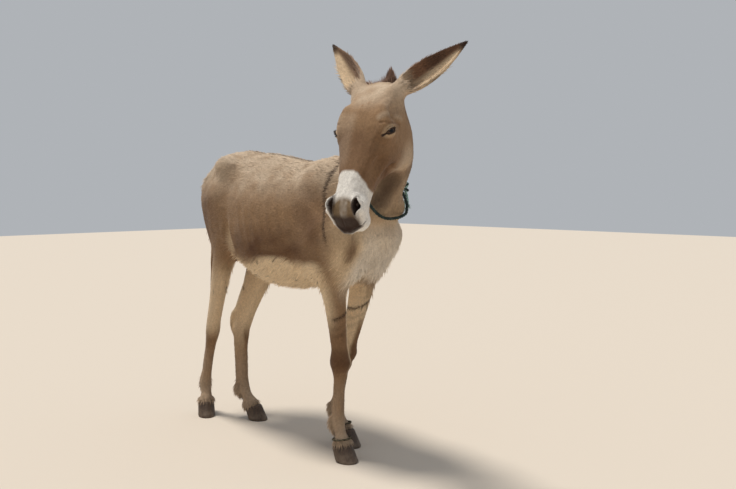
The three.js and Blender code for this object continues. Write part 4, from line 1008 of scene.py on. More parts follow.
# ---------------------------------------------------------------- the lie of the coat
def coat_flow(p, n, q):
    """The way the hair lies, along the skin."""
    head, ears, _ = region_shares(p)
    x, z = p[:, 0], p[:, 2]
    way = np.tile([-1.0, 0.0, -0.22], (len(p), 1))
    down = np.array([-0.12, 0.0, -1.0])
    low = 1 - ramp(z, 0.52, 0.70)
    way = way * (1 - low[:, None]) + down * low[:, None]
    rump = ramp(-x, 0.42, 0.56)[:, None]
    way = way * (1 - rump) + np.array([-0.35, 0.0, -0.94]) * rump
    neck = ramp(x, 0.16, 0.30)[:, None]
    way = way * (1 - neck) + np.array([-0.62, 0.12, -0.72]) * neck
    under = (ramp(-n[:, 2], 0.5, 0.9) * (z > 0.45))[:, None]
    way = way * (1 - under) + np.array([-1.0, 0.0, 0.0]) * under
    u, v, w = q[:, 0], q[:, 1], q[:, 2]
    parting = np.where(u > 92, 1.0, -1.0) * ramp(np.abs(u - 92), 0, 26) + 0.001  # up and down from the brow
    face = np.stack([parting, v / 70.0, -0.25 - 0.5 * ramp(-w, 40, 120)], axis=1) @ MADE["head"][1]
    way = way * (1 - head[:, None]) + face * head[:, None]
    for node in EARS:
        root, tip = MADE["ears"][node]
        long = unit(tip - root)
        across = np.cross(long, MADE["hollows"][node])
        s = (p - root) @ across
        out = long + np.sign(s)[:, None] * across * 0.12
        way = np.where((ears * by_ear(p, node) > 0.3)[:, None], out, way)
    way = way - n * (way * n).sum(1)[:, None]
    swirl = (speckle(p, 0.06, 21) - 0.5)[:, None] * np.cross(n, way) * 1.1
    return unit(way + swirl)


def scattered(rng, weights, number):
    """Roots over the skin, as many per area as the weights say: their places, normals and triangles."""
    p, f = MADE["skin"]
    tri = p[f]
    area = np.linalg.norm(np.cross(tri[:, 1] - tri[:, 0], tri[:, 2] - tri[:, 0]), axis=1)
    run = np.cumsum(area * weights)
    pick = np.searchsorted(run, (np.arange(number) + rng.random(number)) / number * run[-1])
    pick = np.minimum(pick, len(f) - 1)
    a, b = rng.random(number), rng.random(number)
    flip = a + b > 1
    a[flip], b[flip] = 1 - a[flip], 1 - b[flip]
    k = np.stack([1 - a - b, a, b], axis=1)
    root = (tri[pick] * k[:, :, None]).sum(1)
    normal = unit((MADE["skin_normals"][f[pick]] * k[:, :, None]).sum(1))
    return root, normal, pick


def unwrap_place(root, normal):
    """A root's place on an unwrap of one piece's skin: six sheets, one for each way it faces."""
    lo, hi = root.min(0), root.max(0)
    span = np.maximum(hi - lo, 1e-6)
    k = np.abs(normal).argmax(1)
    sheet = k * 2 + (normal[np.arange(len(normal)), k] > 0)
    first = np.where(k == 0, 1, 0)
    second = np.where(k == 2, 1, 2)
    i = np.arange(len(root))
    s = (root[i, first] - lo[first]) / span[first]
    t = (root[i, second] - lo[second]) / span[second]
    margin = 0.012
    s = (sheet % 3 + margin + s * (1 - 2 * margin)) / 3
    t = (sheet // 3 + margin + t * (1 - 2 * margin)) / 2
    return np.stack([s, t], axis=1)


PATCH = 0.003  # how wide each tuft's patch is on the unwrap


def bake_map(obj, place, per_root, shape):
    """The map named OFBake: each tuft a small patch at its root's place."""
    uv = obj.data.uv_layers.new(name="OFBake")
    corner = np.empty(len(obj.data.loops), np.int32)
    obj.data.loops.foreach_get("vertex_index", corner)
    which, part = corner // per_root, corner % per_root
    uv.data.foreach_set("uv", (place[which] + shape[part] * PATCH).astype(np.float32).ravel())


def tube_sides(rings):
    """The side triangles of a three-sided tube, ring by ring."""
    sides = []
    for a in range(0, 3 * (rings - 1), 3):
        for i in range(3):
            j = (i + 1) % 3
            sides += [[a + i, a + j, a + 3 + j], [a + i, a + 3 + j, a + 3 + i]]
    return sides


def tuft_piece(name, root, normal, flow, long, wide, lift, rng, segments, sag):
    """Tufts as thin closed locks of three sides: a wedge from its root to a fine tip."""
    count = len(root)
    side = np.cross(normal, flow)
    turn = rng.normal(0, 0.13, count)[:, None]
    flow = unit(flow + side * turn)
    side = np.cross(normal, flow)
    rings = []
    for k in range(segments):
        t = k / segments
        along = flow * (long * t)[:, None] + normal * (lift * t * (1.6 - 0.6 * t) - 0.0012)[:, None]
        if sag:
            along[:, 2] -= sag * long * t * t
        w = wide * (1 - 0.55 * t)
        centre = root + along
        rings += [
            centre + side * (w / 2)[:, None],
            centre - side * (w / 2)[:, None],
            centre + normal * (w * 0.45)[:, None],
        ]
    tip = root + flow * long[:, None] + normal * lift[:, None]
    if sag:
        tip[:, 2] -= sag * long
    per = 3 * segments + 1
    points = np.stack(rings + [tip], axis=1).reshape(-1, 3)
    base = np.arange(count)[:, None] * per
    a = 3 * (segments - 1)
    tips = [[a + i, a + (i + 1) % 3, per - 1] for i in range(3)]
    pattern = np.array(tube_sides(segments) + tips + [[0, 2, 1]])
    faces = (base[:, None, :] + pattern[None]).reshape(-1, 3)
    first = points[faces[:, 1]] - points[faces[:, 0]]
    n = np.cross(first, points[faces[:, 2]] - points[faces[:, 0]])
    middles = np.repeat(points.reshape(count, per, 3).mean(1), len(pattern), axis=0)
    out = (n * (points[faces].mean(1) - middles)).sum(1)
    flip = out < 0
    faces[flip] = faces[flip][:, ::-1]
    obj = solid_mesh(name, points, faces)
    shape = np.zeros((per, 2))
    for k in range(segments):
        up = k / segments
        shape[3 * k : 3 * k + 3] = [[-0.5, -0.5 + up], [0.5, -0.5 + up], [0, -0.4 + up]]
    shape[-1] = [0, 0.5]
    bake_map(obj, unwrap_place(root, normal), per, shape)
    lean = unit(normal + rng.normal(0, 0.11, (count, 3)) + flow * 0.10)
    obj.data.normals_split_custom_set_from_vertices(np.repeat(lean, per, axis=0).astype(np.float32))
    return obj, per


def coat_pieces(name, root, normal, long, wide, lift, rng, most=48000, segments=1, sag=0.0):
    """Tufts with the marks of the skin they stand on, in as many pieces as their number asks for."""
    q = on_head(root)
    flow = coat_flow(root, normal, q)
    marks = markings(root, normal, q)
    shade = np.clip(0.5 + rng.normal(0, 0.11, len(root)), 0, 1)
    parts = int(math.ceil(len(root) / most))
    for i in range(parts):
        pick = slice(i * len(root) // parts, (i + 1) * len(root) // parts)
        label = name if parts == 1 else f"{name}_{i + 1}"
        own = (v[pick] for v in (root, normal, flow, long, wide, lift))
        obj, per = tuft_piece(label, *own, rng, segments, sag)
        marked(obj, {key: np.repeat(values[pick], per) for key, values in marks.items()})
        layer(obj, "shade", np.repeat(shade[pick], per))
        finished(obj, coat_material("coat_tufts", 0.0, 0.1))


# ---------------------------------------------------------------- cords and locks
def carried(ahead):
    """Two ways across a path at each of its points, carried along it without a twist."""
    normal = np.cross(ahead[0], [0.3, 0.5, 0.81])
    frames = []
    for d in ahead:
        normal = unit(normal - d * (normal @ d))
        frames.append(normal)
    first = np.array(frames)
    return first, np.cross(ahead, first)


def swept(path, radius, sides=8, shut=False):
    """Points and faces of a round tube along a path, closed at both ends or in a ring."""
    path = np.asarray(path, float)
    n = len(path)
    radius = np.broadcast_to(radius, n)
    ahead = np.roll(path, -1, 0) - np.roll(path, 1, 0)
    if not shut:
        ahead[0], ahead[-1] = path[1] - path[0], path[-1] - path[-2]
    ahead = unit(ahead)
    first, second = carried(ahead)
    angle = np.arange(sides) / sides * 2 * math.pi
    ring = first[:, None] * np.cos(angle)[None, :, None] + second[:, None] * np.sin(angle)[None, :, None]
    points = (path[:, None] + ring * radius[:, None, None]).reshape(-1, 3)
    i = np.arange(n if shut else n - 1)[:, None] * sides
    k = np.arange(sides)[None]
    j = (i + sides) % (n * sides)
    nxt = (k + 1) % sides
    faces = np.stack([i + k, i + nxt, j + nxt, j + k], axis=2).reshape(-1, 4)
    faces = halved(faces)
    if not shut:
        caps = []
        for start, turn in ((0, -1), ((n - 1) * sides, 1)):
            for m in range(1, sides - 1):
                t = [start, start + m, start + m + 1]
                caps.append(t if turn > 0 else t[::-1])
        faces = np.concatenate([faces, np.array(caps)])
    return points, faces


def ring_line(node, steps=72):
    """The middle line of a closed loop of rope, from its solid."""
    p, _ = arrays_of(NODES[node])
    c = p.mean(0)
    _, _, axes = np.linalg.svd(p - c, full_matrices=False)
    x, y, z = axes
    flat = np.stack([(p - c) @ x, (p - c) @ y, (p - c) @ z], axis=1)
    angle = np.arctan2(flat[:, 1], flat[:, 0])
    far = np.hypot(flat[:, 0], flat[:, 1])
    want = np.arange(steps) / steps * 2 * math.pi - math.pi
    line = []
    for a in want:
        gap = np.abs((angle - a + math.pi) % (2 * math.pi) - math.pi)
        k = np.exp(-((gap / 0.12) ** 2)) + 1e-9
        r, h = (far * k).sum() / k.sum(), (flat[:, 2] * k).sum() / k.sum()
        line.append(c + x * math.cos(a) * r + y * math.sin(a) * r + z * h)
    return np.array(line)


def laid_rope(path, radius, shut, strands=3, turn_long=0.034, sides=7):
    """Strands twisted along a path, each as the points and faces of its tube."""
    path = np.asarray(path, float)
    if shut:
        path = np.concatenate([path, path[:1]])
    step = np.linalg.norm(np.diff(path, axis=0), axis=1)
    run = np.concatenate([[0], np.cumsum(step)])
    many = max(int(run[-1] / (turn_long / 9)), 8)
    want = np.arange(many) / (many if shut else many - 1) * run[-1]
    line = np.stack([np.interp(want, run, path[:, c]) for c in range(3)], axis=1)
    ahead = unit(np.roll(line, -1, 0) - np.roll(line, 1, 0)) if shut else unit(np.gradient(line, axis=0))
    first, second = carried(ahead)
    turns = max(round(run[-1] / turn_long), 1)
    out = []
    for s in range(strands):
        a = want / run[-1] * turns * 2 * math.pi + s / strands * 2 * math.pi
        centre = line + (first * np.cos(a)[:, None] + second * np.sin(a)[:, None]) * radius * 0.50
        out.append(swept(centre, radius * 0.56, sides, shut))
    return out


def strand_piece(name, tubes, shades, along, material, replaces=()):
    p, f = together(tubes)
    obj = solid_mesh(name, p, f)
    layer(obj, "shade", np.concatenate([np.full(len(t[0]), s) for t, s in zip(tubes, shades)]))
    layer(obj, "along", np.concatenate([np.broadcast_to(a, len(t[0])) for t, a in zip(tubes, along)]))
    return finished(obj, material, replaces)


def locks(roots, paths, wides):
    """Flat three-sided locks along many paths at once: paths is locks x steps x 3."""
    count, steps, _ = paths.shape
    ahead = unit(np.gradient(paths, axis=1))
    side = unit(np.cross(ahead, roots[:, None, :]))
    out = np.cross(side, ahead)
    taper = (1 - (np.arange(steps) / (steps - 1)) ** 1.6 * 0.96)[None, :, None]
    w = wides[:, None, None] * taper
    tri = np.stack([paths + side * w / 2, paths - side * w / 2, paths + out * w * 0.4], axis=2)
    points = tri.reshape(-1, 3)
    a = 3 * (steps - 1)
    pattern = np.array(tube_sides(steps) + [[0, 2, 1], [a, a + 1, a + 2]])
    faces = (np.arange(count)[:, None, None] * 3 * steps + pattern[None]).reshape(-1, 3)
    return points, faces


def lock_piece(name, roots, paths, wides, rng, material, replaces=(), extra=None):
    points, faces = locks(roots, paths, wides)
    obj = solid_mesh(name, points, faces)
    count, steps, _ = paths.shape
    layer(obj, "shade", np.repeat(np.clip(0.5 + rng.normal(0, 0.2, count), 0, 1), 3 * steps))
    layer(obj, "along", np.tile(np.repeat(np.linspace(0, 1, steps), 3), count))
    for key, values in (extra or {}).items():
        layer(obj, key, np.repeat(values, 3 * steps))
    shape = np.array([[(i % 3 - 1) * 0.5, i // 3 / (steps - 1) - 0.5] for i in range(3 * steps)])
    bake_map(obj, unwrap_place(paths[:, 0], roots), 3 * steps, shape)
    return finished(obj, material, replaces)


# ---------------------------------------------------------------- the pieces
class DONKEY_OT_skin(bpy.types.Operator):
    """Makes the one skin that stands for the flesh of body, head and legs"""

    bl_idname = "donkey.skin"
    bl_label = "Make the Skin"

    def execute(self, context):
        s = context.scene.donkey_skin
        MADE["head"] = head_axes()
        MADE["legs"] = leg_axes()
        MADE["ears"], MADE["hollows"] = {}, {}
        for node in EARS:
            p, _ = arrays_of(NODES[node])
            c = p.mean(0)
            way = np.linalg.svd(p - c, full_matrices=False)[2][0]
            way = way if way[2] > 0 else -way
            k = (p - c) @ way
            MADE["ears"][node] = (c + way * k.min(), c + way * k.max())
            hollow = head_way(HOLLOWS[node])
            MADE["hollows"][node] = unit(hollow - way * (hollow @ way))
        eyes = (middle("eye_left") + middle("eye_right")) / 2
        way = unit(np.array(JOIN_WAY))
        at = eyes - way * s.neck_join
        body = closed_skin([n for n in FLESH if not n.startswith("ear")], s.body_grain)
        head = closed_skin(["head", "neck", *EARS, "eye_left", "eye_right"], s.head_grain)
        body = (evened(*body, s.body_rounds), body[1])
        head = (evened(*head, s.head_rounds), head[1])
        MADE["join"] = (at, way)
        edge = s.body_grain * 0.5
        body = cut(*body, at - way * edge, -way)
        head = cut(*head, at + way * edge, way)
        p, f = joined(body, head, way)
        near = 1 - ramp(np.abs((p - at) @ way), 0.02, 0.05)
        p = evened(p, f, 10, near)

        # the solid's ledges round the brow are worn down before the finer folds are laid over them
        q = on_head(p)
        off = np.stack([q[:, 0] - 108, np.abs(q[:, 1]) - 78, q[:, 2] + 22], axis=1) / [34.0, 34.0, 56.0]
        p = evened(p, f, 60, hill(np.linalg.norm(off, axis=1)), back=0.0)

        # finer facets round the eyes, nostrils and mouth
        q = on_head(p[f].mean(1))
        chosen = (q[:, 0] > 366) & (q[:, 2] > -110) & (q[:, 0] < 480)
        for side in (1, -1):
            c, _, out, _, _ = eye_frame(side)
            d = q - c
            chosen |= (np.linalg.norm(d, axis=1) < 50) & (d @ out > 0)
        p, f = finer(p, f, chosen)
        n = vertex_normals(p, f)
        head, ears, legs = region_shares(p)
        p = p + (shape_body(p, n) - p) * (1 - head)[:, None] * (1 - ears)[:, None]
        on_face = np.where(head > 0.5)[0]
        MADE["normals"] = n[on_face]
        q = on_head(p[on_face])
        comma = np.full(len(p), OUTSIDE)
        comma[on_face] = nostril_share(q)
        q = shape_eyes(shape_face(q))
        p[on_face] = off_head(q)
        n = vertex_normals(p, f)
        q = on_head(p)
        bare = np.zeros(len(p))
        for side in (1, -1):
            c = eye_frame(side)[0]
            bare = np.maximum(bare, 1 - ramp(np.linalg.norm(q - c, axis=1), 34, 46))
        bare = np.maximum(bare, ramp(comma, -6, -2))
        thin = np.maximum(head, ears)
        depth = s.body_depth * (1 - legs) + s.leg_depth * legs
        depth = depth * (1 - thin) + s.face_depth * thin * (1 - 0.45 * ears)
        p = p - n * (depth * (1 - bare * head))[:, None]
        n = vertex_normals(p, f)
        q = on_head(p)
        MADE["skin"] = (p, f)
        MADE["skin_normals"] = n
        MADE["shares"] = region_shares(p)
        MADE["bare"] = bare
        obj = solid_mesh("skin", p, f)
        marked(obj, markings(p, n, q, comma))
        layer(obj, "shade", np.full(len(p), 0.45))
        finished(obj, coat_material("skin", 0.8, 0.1), FLESH)
        return {"FINISHED"}


class DONKEY_OT_coat(bpy.types.Operator):
    """Lays short tufts over the skin, along the lie of the coat"""

    bl_idname = "donkey.coat"
    bl_label = "Lay the Coat"

    def execute(self, context):
        c = context.scene.donkey_coat
        rng = np.random.default_rng(SEED)
        p, f = MADE["skin"]
        head, ears = (v[f].mean(1) for v in MADE["shares"][:2])
        bare = MADE["bare"][f].mean(1)
        centre = p[f].mean(1)
        z, q = centre[:, 2], on_head(centre)
        muzzle = ramp(q[:, 0], 330, 400) * head
        naked = np.clip(bare * head + ramp(nostril_share(q), -3, 0) * head, 0, 1)
        nose = hill(np.hypot((q[:, 0] - 408) / 36, (q[:, 1] - NOSE_ASIDE) / 24))
        naked = np.maximum(naked, head * nose * 0.8)
        trunk = (1 - head) * (1 - ears) * ramp(z, 0.36, 0.50)
        lower = (1 - head) * (1 - ears) * (1 - ramp(z, 0.36, 0.50)) * (z > 0.045)
        face = head * (1 - ears) * (1 - naked) * (1 - 0.3 * muzzle)
        plans = [
            ("coat_body", trunk, c.body_tufts, c.body_hair, 0.0024, 0.0022),
            ("coat_legs", lower, c.leg_tufts, c.leg_hair, 0.0019, 0.0015),
            ("coat_head", face, c.head_tufts, c.head_hair, 0.0012, 0.0009),
            ("coat_ears", ears, c.ear_tufts, 0.0068, 0.0012, 0.0006),
        ]
        for name, weight, number, long, wide, lift in plans:
            root, normal, _ = scattered(rng, weight, number)
            l = long * (0.7 + 0.6 * rng.random(number))
            w = wide * (0.7 + 0.6 * rng.random(number))
            up = lift * (0.45 + 0.75 * rng.random(number))
            if name == "coat_body":
                rough = ramp(speckle(root, 0.05, 31), 0.35, 0.75) * ramp(root[:, 2], 0.75, 0.95)
                up = up * (1 + 0.5 * rough)
                l = l * (1 + 0.2 * rough)
                low = 1 - ramp(root[:, 2], 0.50, 0.62)
                l, up = l * (1 - 0.25 * low), up * (1 - 0.4 * low)
            if name == "coat_head":
                small = ramp(on_head(root)[:, 0], 300, 400)
                l, w, up = l * (1 - 0.35 * small), w * (1 - 0.2 * small), up * (1 - 0.35 * small)
            coat_pieces(name, root, normal, l, w, up, rng)
        return {"FINISHED"}


class DONKEY_OT_long_hair(bpy.types.Operator):
    """Grows the rough longer locks of back, belly, fetlocks, elbows and ear roots"""

    bl_idname = "donkey.long_hair"
    bl_label = "Grow the Long Hair"

    def execute(self, context):
        c = context.scene.donkey_coat
        rng = np.random.default_rng(SEED + 1)
        p, f = MADE["skin"]
        centre = p[f].mean(1)
        head, ears = (v[f].mean(1) for v in MADE["shares"][:2])
        n = MADE["skin_normals"][f].mean(1)
        z = centre[:, 2]
        back = ramp(n[:, 2], 0.2, 0.7) * ramp(z, 0.85, 1.0) * (1 - head) * (1 - ears)
        back = back * (0.15 + ramp(speckle(centre, 0.04, 41), 0.45, 0.7))
        belly = ramp(-n[:, 2], 0.1, 0.6) * (z > 0.5) * (z < 0.75) * (1 - head) * 0.35
        weight = 0.6 * back + belly
        for low, _, ahead in MADE["legs"].values():
            rel = centre - low
            fetlock = hill(np.linalg.norm(rel * [1, 1, 0.8], axis=1) / 0.055)
            behind = ramp(-(rel @ ahead), 0.004, 0.016) * fetlock
            weight = weight + 9 * behind * (z < 0.15)
            weight = weight + 1.2 * (z < 0.075) * (z > 0.045)
        for node in EARS:
            root, tip = MADE["ears"][node]
            k = (centre - root) @ unit(tip - root) / np.linalg.norm(tip - root)
            inner = ramp(n @ MADE["hollows"][node], 0.1, 0.5) * ears * by_ear(centre, node)
            weight = weight + 2.2 * inner * (1 - ramp(k, 0.35, 0.75))
        root, normal, pick = scattered(rng, weight, c.long_tufts)
        number = len(root)
        low = root[:, 2] < 0.15
        long = np.where(low, 0.020, 0.026) * (0.6 + 0.8 * rng.random(number))
        ear = MADE["shares"][1][f[pick]].mean(1) > 0.5
        long = np.where(ear, 0.020 * (0.6 + 0.6 * rng.random(number)), long)
        wide = np.where(ear, 0.0016, 0.0030) * (0.6 + 0.8 * rng.random(number))
        lift = np.where(low, 0.009, 0.0075) * (0.4 + rng.random(number))
        lift = np.where(ear, 0.006, lift)
        coat_pieces("coat_long", root, normal, long, wide, lift, rng, most=13000, segments=2, sag=0.15)
        return {"FINISHED"}


class DONKEY_OT_mane(bpy.types.Operator):
    """Grows the upright mane along the crest of the neck"""

    bl_idname = "donkey.mane"
    bl_label = "Grow the Mane"

    def execute(self, context):
        c = context.scene.donkey_coat
        k = context.scene.donkey_colours
        rng = np.random.default_rng(SEED + 2)
        mane, _ = arrays_of(NODES["mane"])
        centre = mane.mean(0)
        _, _, axes = np.linalg.svd(mane - centre, full_matrices=False)
        long_way = axes[0] if axes[0][0] > 0 else -axes[0]
        s = (mane - centre) @ long_way
        edges = np.linspace(s.min(), s.max(), 15)
        up_way = unit(np.array(CREST_WAY))
        up_way = unit(up_way - long_way * (up_way @ long_way))
        side_way = np.cross(long_way, up_way)
        rows = []
        for a, b in zip(edges[:-1], edges[1:]):
            m = mane[(s >= a - 0.006) & (s <= b + 0.006)]
            t, v = (m - centre) @ up_way, (m - centre) @ side_way
            rows.append([(a + b) / 2, t.min(), t.max(), (v.min() + v.max()) / 2, (v.max() - v.min()) / 2])
        rows = np.array(rows)
        number = c.mane_locks
        at = rows[0, 0] + (rows[-1, 0] - rows[0, 0]) * rng.random(number)
        low, high, mid, half = (np.interp(at, rows[:, 0], rows[:, i]) for i in (1, 2, 3, 4))
        sway = rng.normal(0, 0.42, number)
        root = centre + long_way * at[:, None] + side_way * (mid + sway * half * 0.55)[:, None]
        root = root + up_way * (low + 0.004)[:, None]
        clump = speckle(root, 0.018, 51)
        full = (high - low) * (0.72 + 0.26 * rng.random(number)) * (0.80 + 0.25 * clump)
        lean = side_way * (sway * 0.10 + (clump - 0.5) * 0.22)[:, None] + long_way * (
            0.10 * (speckle(root, 0.03, 52) - 0.5) + rng.normal(0, 0.05, number)
        )[:, None]
        steps = np.linspace(0, 1, 4)
        paths = root[:, None] + (up_way * full[:, None])[:, None] * steps[None, :, None]
        paths = paths + (lean * full[:, None])[:, None] * (steps ** 2)[None, :, None] * 1.5
        # the upright tuft between the ears, drawn together towards its tip
        more = number // 5
        crown = mane[:, 2].max()
        foot = mane[mane[:, 2] > crown - 0.02].mean(0)
        foot[2] = crown - 0.088
        spread = rng.normal(0, 1, (more, 3)) * [0.010, 0.009, 0.0]
        tall = 0.104 * (0.72 + 0.24 * rng.random(more)) * (1 - 0.20 * np.linalg.norm(spread, axis=1) / 0.02)
        bend = np.stack([-0.35 * spread[:, 0], 0.004 - 0.35 * spread[:, 1], np.zeros(more)], axis=1)
        tuft = (foot + spread)[:, None] + bend[:, None] * (steps ** 2)[None, :, None]
        tuft[:, :, 2] += tall[:, None] * steps[None]
        paths = np.concatenate([paths, tuft])
        sway = np.concatenate([sway, rng.normal(0, 1, more)])
        number += more
        wides = 0.0028 * (0.6 + 0.8 * rng.random(number))
        out = unit(side_way * np.sign(sway)[:, None] + rng.normal(0, 0.4, (number, 3)))
        hair = strand_material("mane_hair", k.mane, times(k.mane, 2.6))
        lock_piece("mane_hair", out, paths, wides, rng, hair, ["mane"])
        return {"FINISHED"}


class DONKEY_OT_tail(bpy.types.Operator):
    """Hangs the long hair of the tail's switch"""

    bl_idname = "donkey.tail"
    bl_label = "Hang the Tail Switch"

    def execute(self, context):
        c = context.scene.donkey_coat
        k = context.scene.donkey_colours
        rng = np.random.default_rng(SEED + 3)
        lo, hi = (np.array(v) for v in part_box("tail_switch"))
        centre = (lo + hi) / 2
        both = np.concatenate([arrays_of(NODES[node])[0] for node in ("tail", "tail_switch")])
        heights = np.linspace(lo[2] + 0.01, hi[2] + 0.14, 12)
        slices = [both[np.abs(both[:, 2] - level) < 0.03] for level in heights]
        middles = np.array([(m.min(0) + m.max(0)) / 2 for m in slices])
        number = c.tail_locks
        start = hi[2] + 0.10 - 0.30 * rng.random(number) ** 1.5
        length = np.minimum((0.14 + 0.16 * rng.random(number)), start - lo[2] - 0.004)
        angle = rng.random(number) * 2 * math.pi
        out = np.stack([np.cos(angle), np.sin(angle), np.zeros(number)], axis=1)
        thick = 0.0105 * (0.5 + 0.5 * rng.random(number))
        steps = np.linspace(0, 1, 7)
        z = start[:, None] - length[:, None] * steps[None]
        dock_x, dock_y = (np.interp(z, heights, middles[:, i]) for i in (0, 1))
        belly = 0.9 + 0.8 * ramp(-z, -hi[2] - 0.01, -centre[2]) - 1.1 * ramp(-z, -centre[2] + 0.06, -lo[2])
        r = thick[:, None] * np.clip(belly, 0.25, 2.0)
        wave = 0.003 * np.sin(steps[None] * 5 + angle[:, None] * 3)
        paths = np.stack(
            [dock_x + out[:, :1] * (r + wave), dock_y + out[:, 1:2] * (r + wave), z], axis=2
        )
        wides = 0.0032 * (0.6 + 0.8 * rng.random(number))
        hair = strand_material("switch_hair", times(k.dun, 0.62), k.mane)
        lock_piece("tail_hair", out, paths, wides, rng, hair, ["tail_switch"])
        return {"FINISHED"}


class DONKEY_OT_eyes(bpy.types.Operator):
    """Sets the eyeballs, the rims of the lids and the lashes"""

    bl_idname = "donkey.eyes"
    bl_label = "Set the Eyes"

    def execute(self, context):
        h = context.scene.donkey_head
        k = context.scene.donkey_colours
        rng = np.random.default_rng(SEED + 4)
        m = plain("eye_ball", k.iris, 0.06)
        tree, b = m.node_tree, principled(m)
        streak = mixed(tree, noise(tree, 0.0016, 2.0), k.iris, times(k.iris, 2.4))
        col = mixed(tree, mark(tree, "pupil"), streak, (0.004, 0.003, 0.003))
        col = mixed(tree, mark(tree, "white_of_eye"), col, (0.20, 0.13, 0.09))
        tree.links.new(col, b.inputs["Base Color"])
        b.inputs["Specular IOR Level"].default_value = 0.24
        rim_material = plain("lid_rim", k.dark, 0.42)
        lash_material = strand_material("lashes", k.dark, times(k.dark, 1.6))
        poll, axes = MADE["head"]
        for side, node in ((1, "eye_left"), (-1, "eye_right")):
            c, ball, out, along, above = eye_frame(side)
            bm = bmesh.new()
            bmesh.ops.create_icosphere(bm, subdivisions=5, radius=1.0)
            sphere = np.array([v.co for v in bm.verts])
            faces = np.array([[v.index for v in f.verts] for f in bm.faces])
            bm.free()
            face = sphere @ out
            bulge = 1 + 0.035 * ramp(face, 0.80, 0.97)
            q = c + sphere * (ball * 0.985) * bulge[:, None]
            obj = solid_mesh(node + "_ball", poll + q / 1000.0 @ axes, faces)
            s, t = sphere @ along, sphere @ above
            layer(obj, "pupil", (1 - ramp(np.hypot(s / 0.40, t / 0.22), 0.85, 1.1)) * (face > 0))
            layer(obj, "white_of_eye", ramp(np.hypot(s, t), 0.76, 0.84))
            finished(obj, m, [node])
            # rim of the lids round the slit
            a = np.arange(96) / 96 * 2 * math.pi
            bs = np.cos(a)
            top, low = slit_edges(bs)
            bt = np.where(np.sin(a) > 0, top, low)
            half = h.slit_long * 1000
            flat = bs[:, None] * half * along + bt[:, None] * above
            deep = np.sqrt(np.maximum((ball + 1.0) ** 2 - (bs * half) ** 2 - bt ** 2, 20.0))
            line = c + flat + deep[:, None] * out
            p, f = swept(off_head(line), 0.0008 + 0.0005 * np.abs(np.sin(a)), 8, True)
            rim = solid_mesh(node + "_rim", p, f)
            finished(rim, rim_material)
            # lashes, thick on the upper lid
            number = 150
            pick = rng.random(number)
            over, under = 0.08 + 0.84 * rng.random(number), 1.15 + 0.7 * rng.random(number)
            angle = np.where(pick < 0.8, over, under) * math.pi
            bs = np.cos(angle)
            top, low = slit_edges(bs)
            upper = np.sin(angle) > 0
            bt = np.where(upper, top + 0.8, low - 0.6)
            deep = np.sqrt(np.maximum((ball + 1.8) ** 2 - (bs * half) ** 2 - bt ** 2, 20.0))
            base = c + bs[:, None] * half * along + bt[:, None] * above + deep[:, None] * out
            way = out * 0.9 + above * np.where(upper, -0.25, -0.5)[:, None] + along * (bs * 0.5)[:, None]
            way = unit(way + rng.normal(0, 0.12, (number, 3)))
            curl = np.where(upper, 0.5, -0.3)[:, None] * above
            long = np.where(upper, 8.5, 4.5) * (0.6 + 0.5 * rng.random(number))
            steps = np.linspace(0, 1, 5)
            paths = base[:, None] + long[:, None, None] * (
                way[:, None] * steps[None, :, None] + curl[:, None] * (steps ** 2)[None, :, None]
            )
            paths = poll + paths / 1000.0 @ axes
            roots = np.repeat(unit(out[None] @ axes), number, axis=0)
            wides = np.full(number, 0.0008)
            lock_piece(node + "_lashes", roots, paths, wides, rng, lash_material)
        return {"FINISHED"}


class DONKEY_OT_hooves(bpy.types.Operator):
    """Makes the hooves, with rings of growth and worn edges"""

    bl_idname = "donkey.hooves"
    bl_label = "Make the Hooves"

    def execute(self, context):
        k = context.scene.donkey_colours
        m = plain("horn", k.horn, 0.6)
        tree, b = m.node_tree, principled(m)
        streak = noise(tree, 0.004, 3.0, (1.0, 1.0, 0.16))
        patch = noise(tree, 0.018, 3.0)
        col = mixed(tree, ranged(tree, streak, 0.4, 0.65), k.horn, times(k.horn, 1.9))
        dusty = product(tree, mark(tree, "low"), ranged(tree, patch, 0.3, 0.65))
        col = mixed(tree, dusty, col, k.horn_dust)
        tree.links.new(col, b.inputs["Base Color"])
        bumped(tree, b, streak, 0.5, 0.0006)
        for leg in LEGS:
            node = "hoof_" + leg
            p, q = closed_skin([node], 0.0022)
            f = halved(q)
            p = evened(p, f, 14)
            n = vertex_normals(p, f)
            lo, hi = (np.array(v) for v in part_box(node))
            ahead = MADE["legs"][leg][2]
            fore = (p - (lo + hi) / 2) @ ahead
            height = p[:, 2] - lo[2]
            wall = (1 - ramp(np.abs(n[:, 2]), 0.6, 0.85)) * ramp(height, 0.004, 0.010)
            rings = np.sin((height - 0.25 * fore) / 0.0046 * 2 * math.pi + 2.2 * speckle(p, 0.02, 61))
            p = p + n * (wall * (0.00035 * rings + 0.0012 * (speckle(p, 0.012, 62) - 0.5)) - 0.0004)[:, None]
            # heels part in two behind
            aside = np.array([-ahead[1], ahead[0], 0.0])
            out = (p - (lo + hi) / 2) @ aside
            cleft = np.exp(-((out / 0.0055) ** 2)) * ramp(-fore, 0.020, 0.036)
            p = p + ahead * (cleft * 0.008)[:, None]
            p[:, 2] = np.maximum(p[:, 2], lo[2])
            p[:, 2] = np.where(height < 0.0016, lo[2], p[:, 2])
            obj = solid_mesh(node + "_horn", p, f)
            layer(obj, "low", 1 - ramp(height, 0.012, 0.042))
            finished(obj, m, [node])
        return {"FINISHED"}


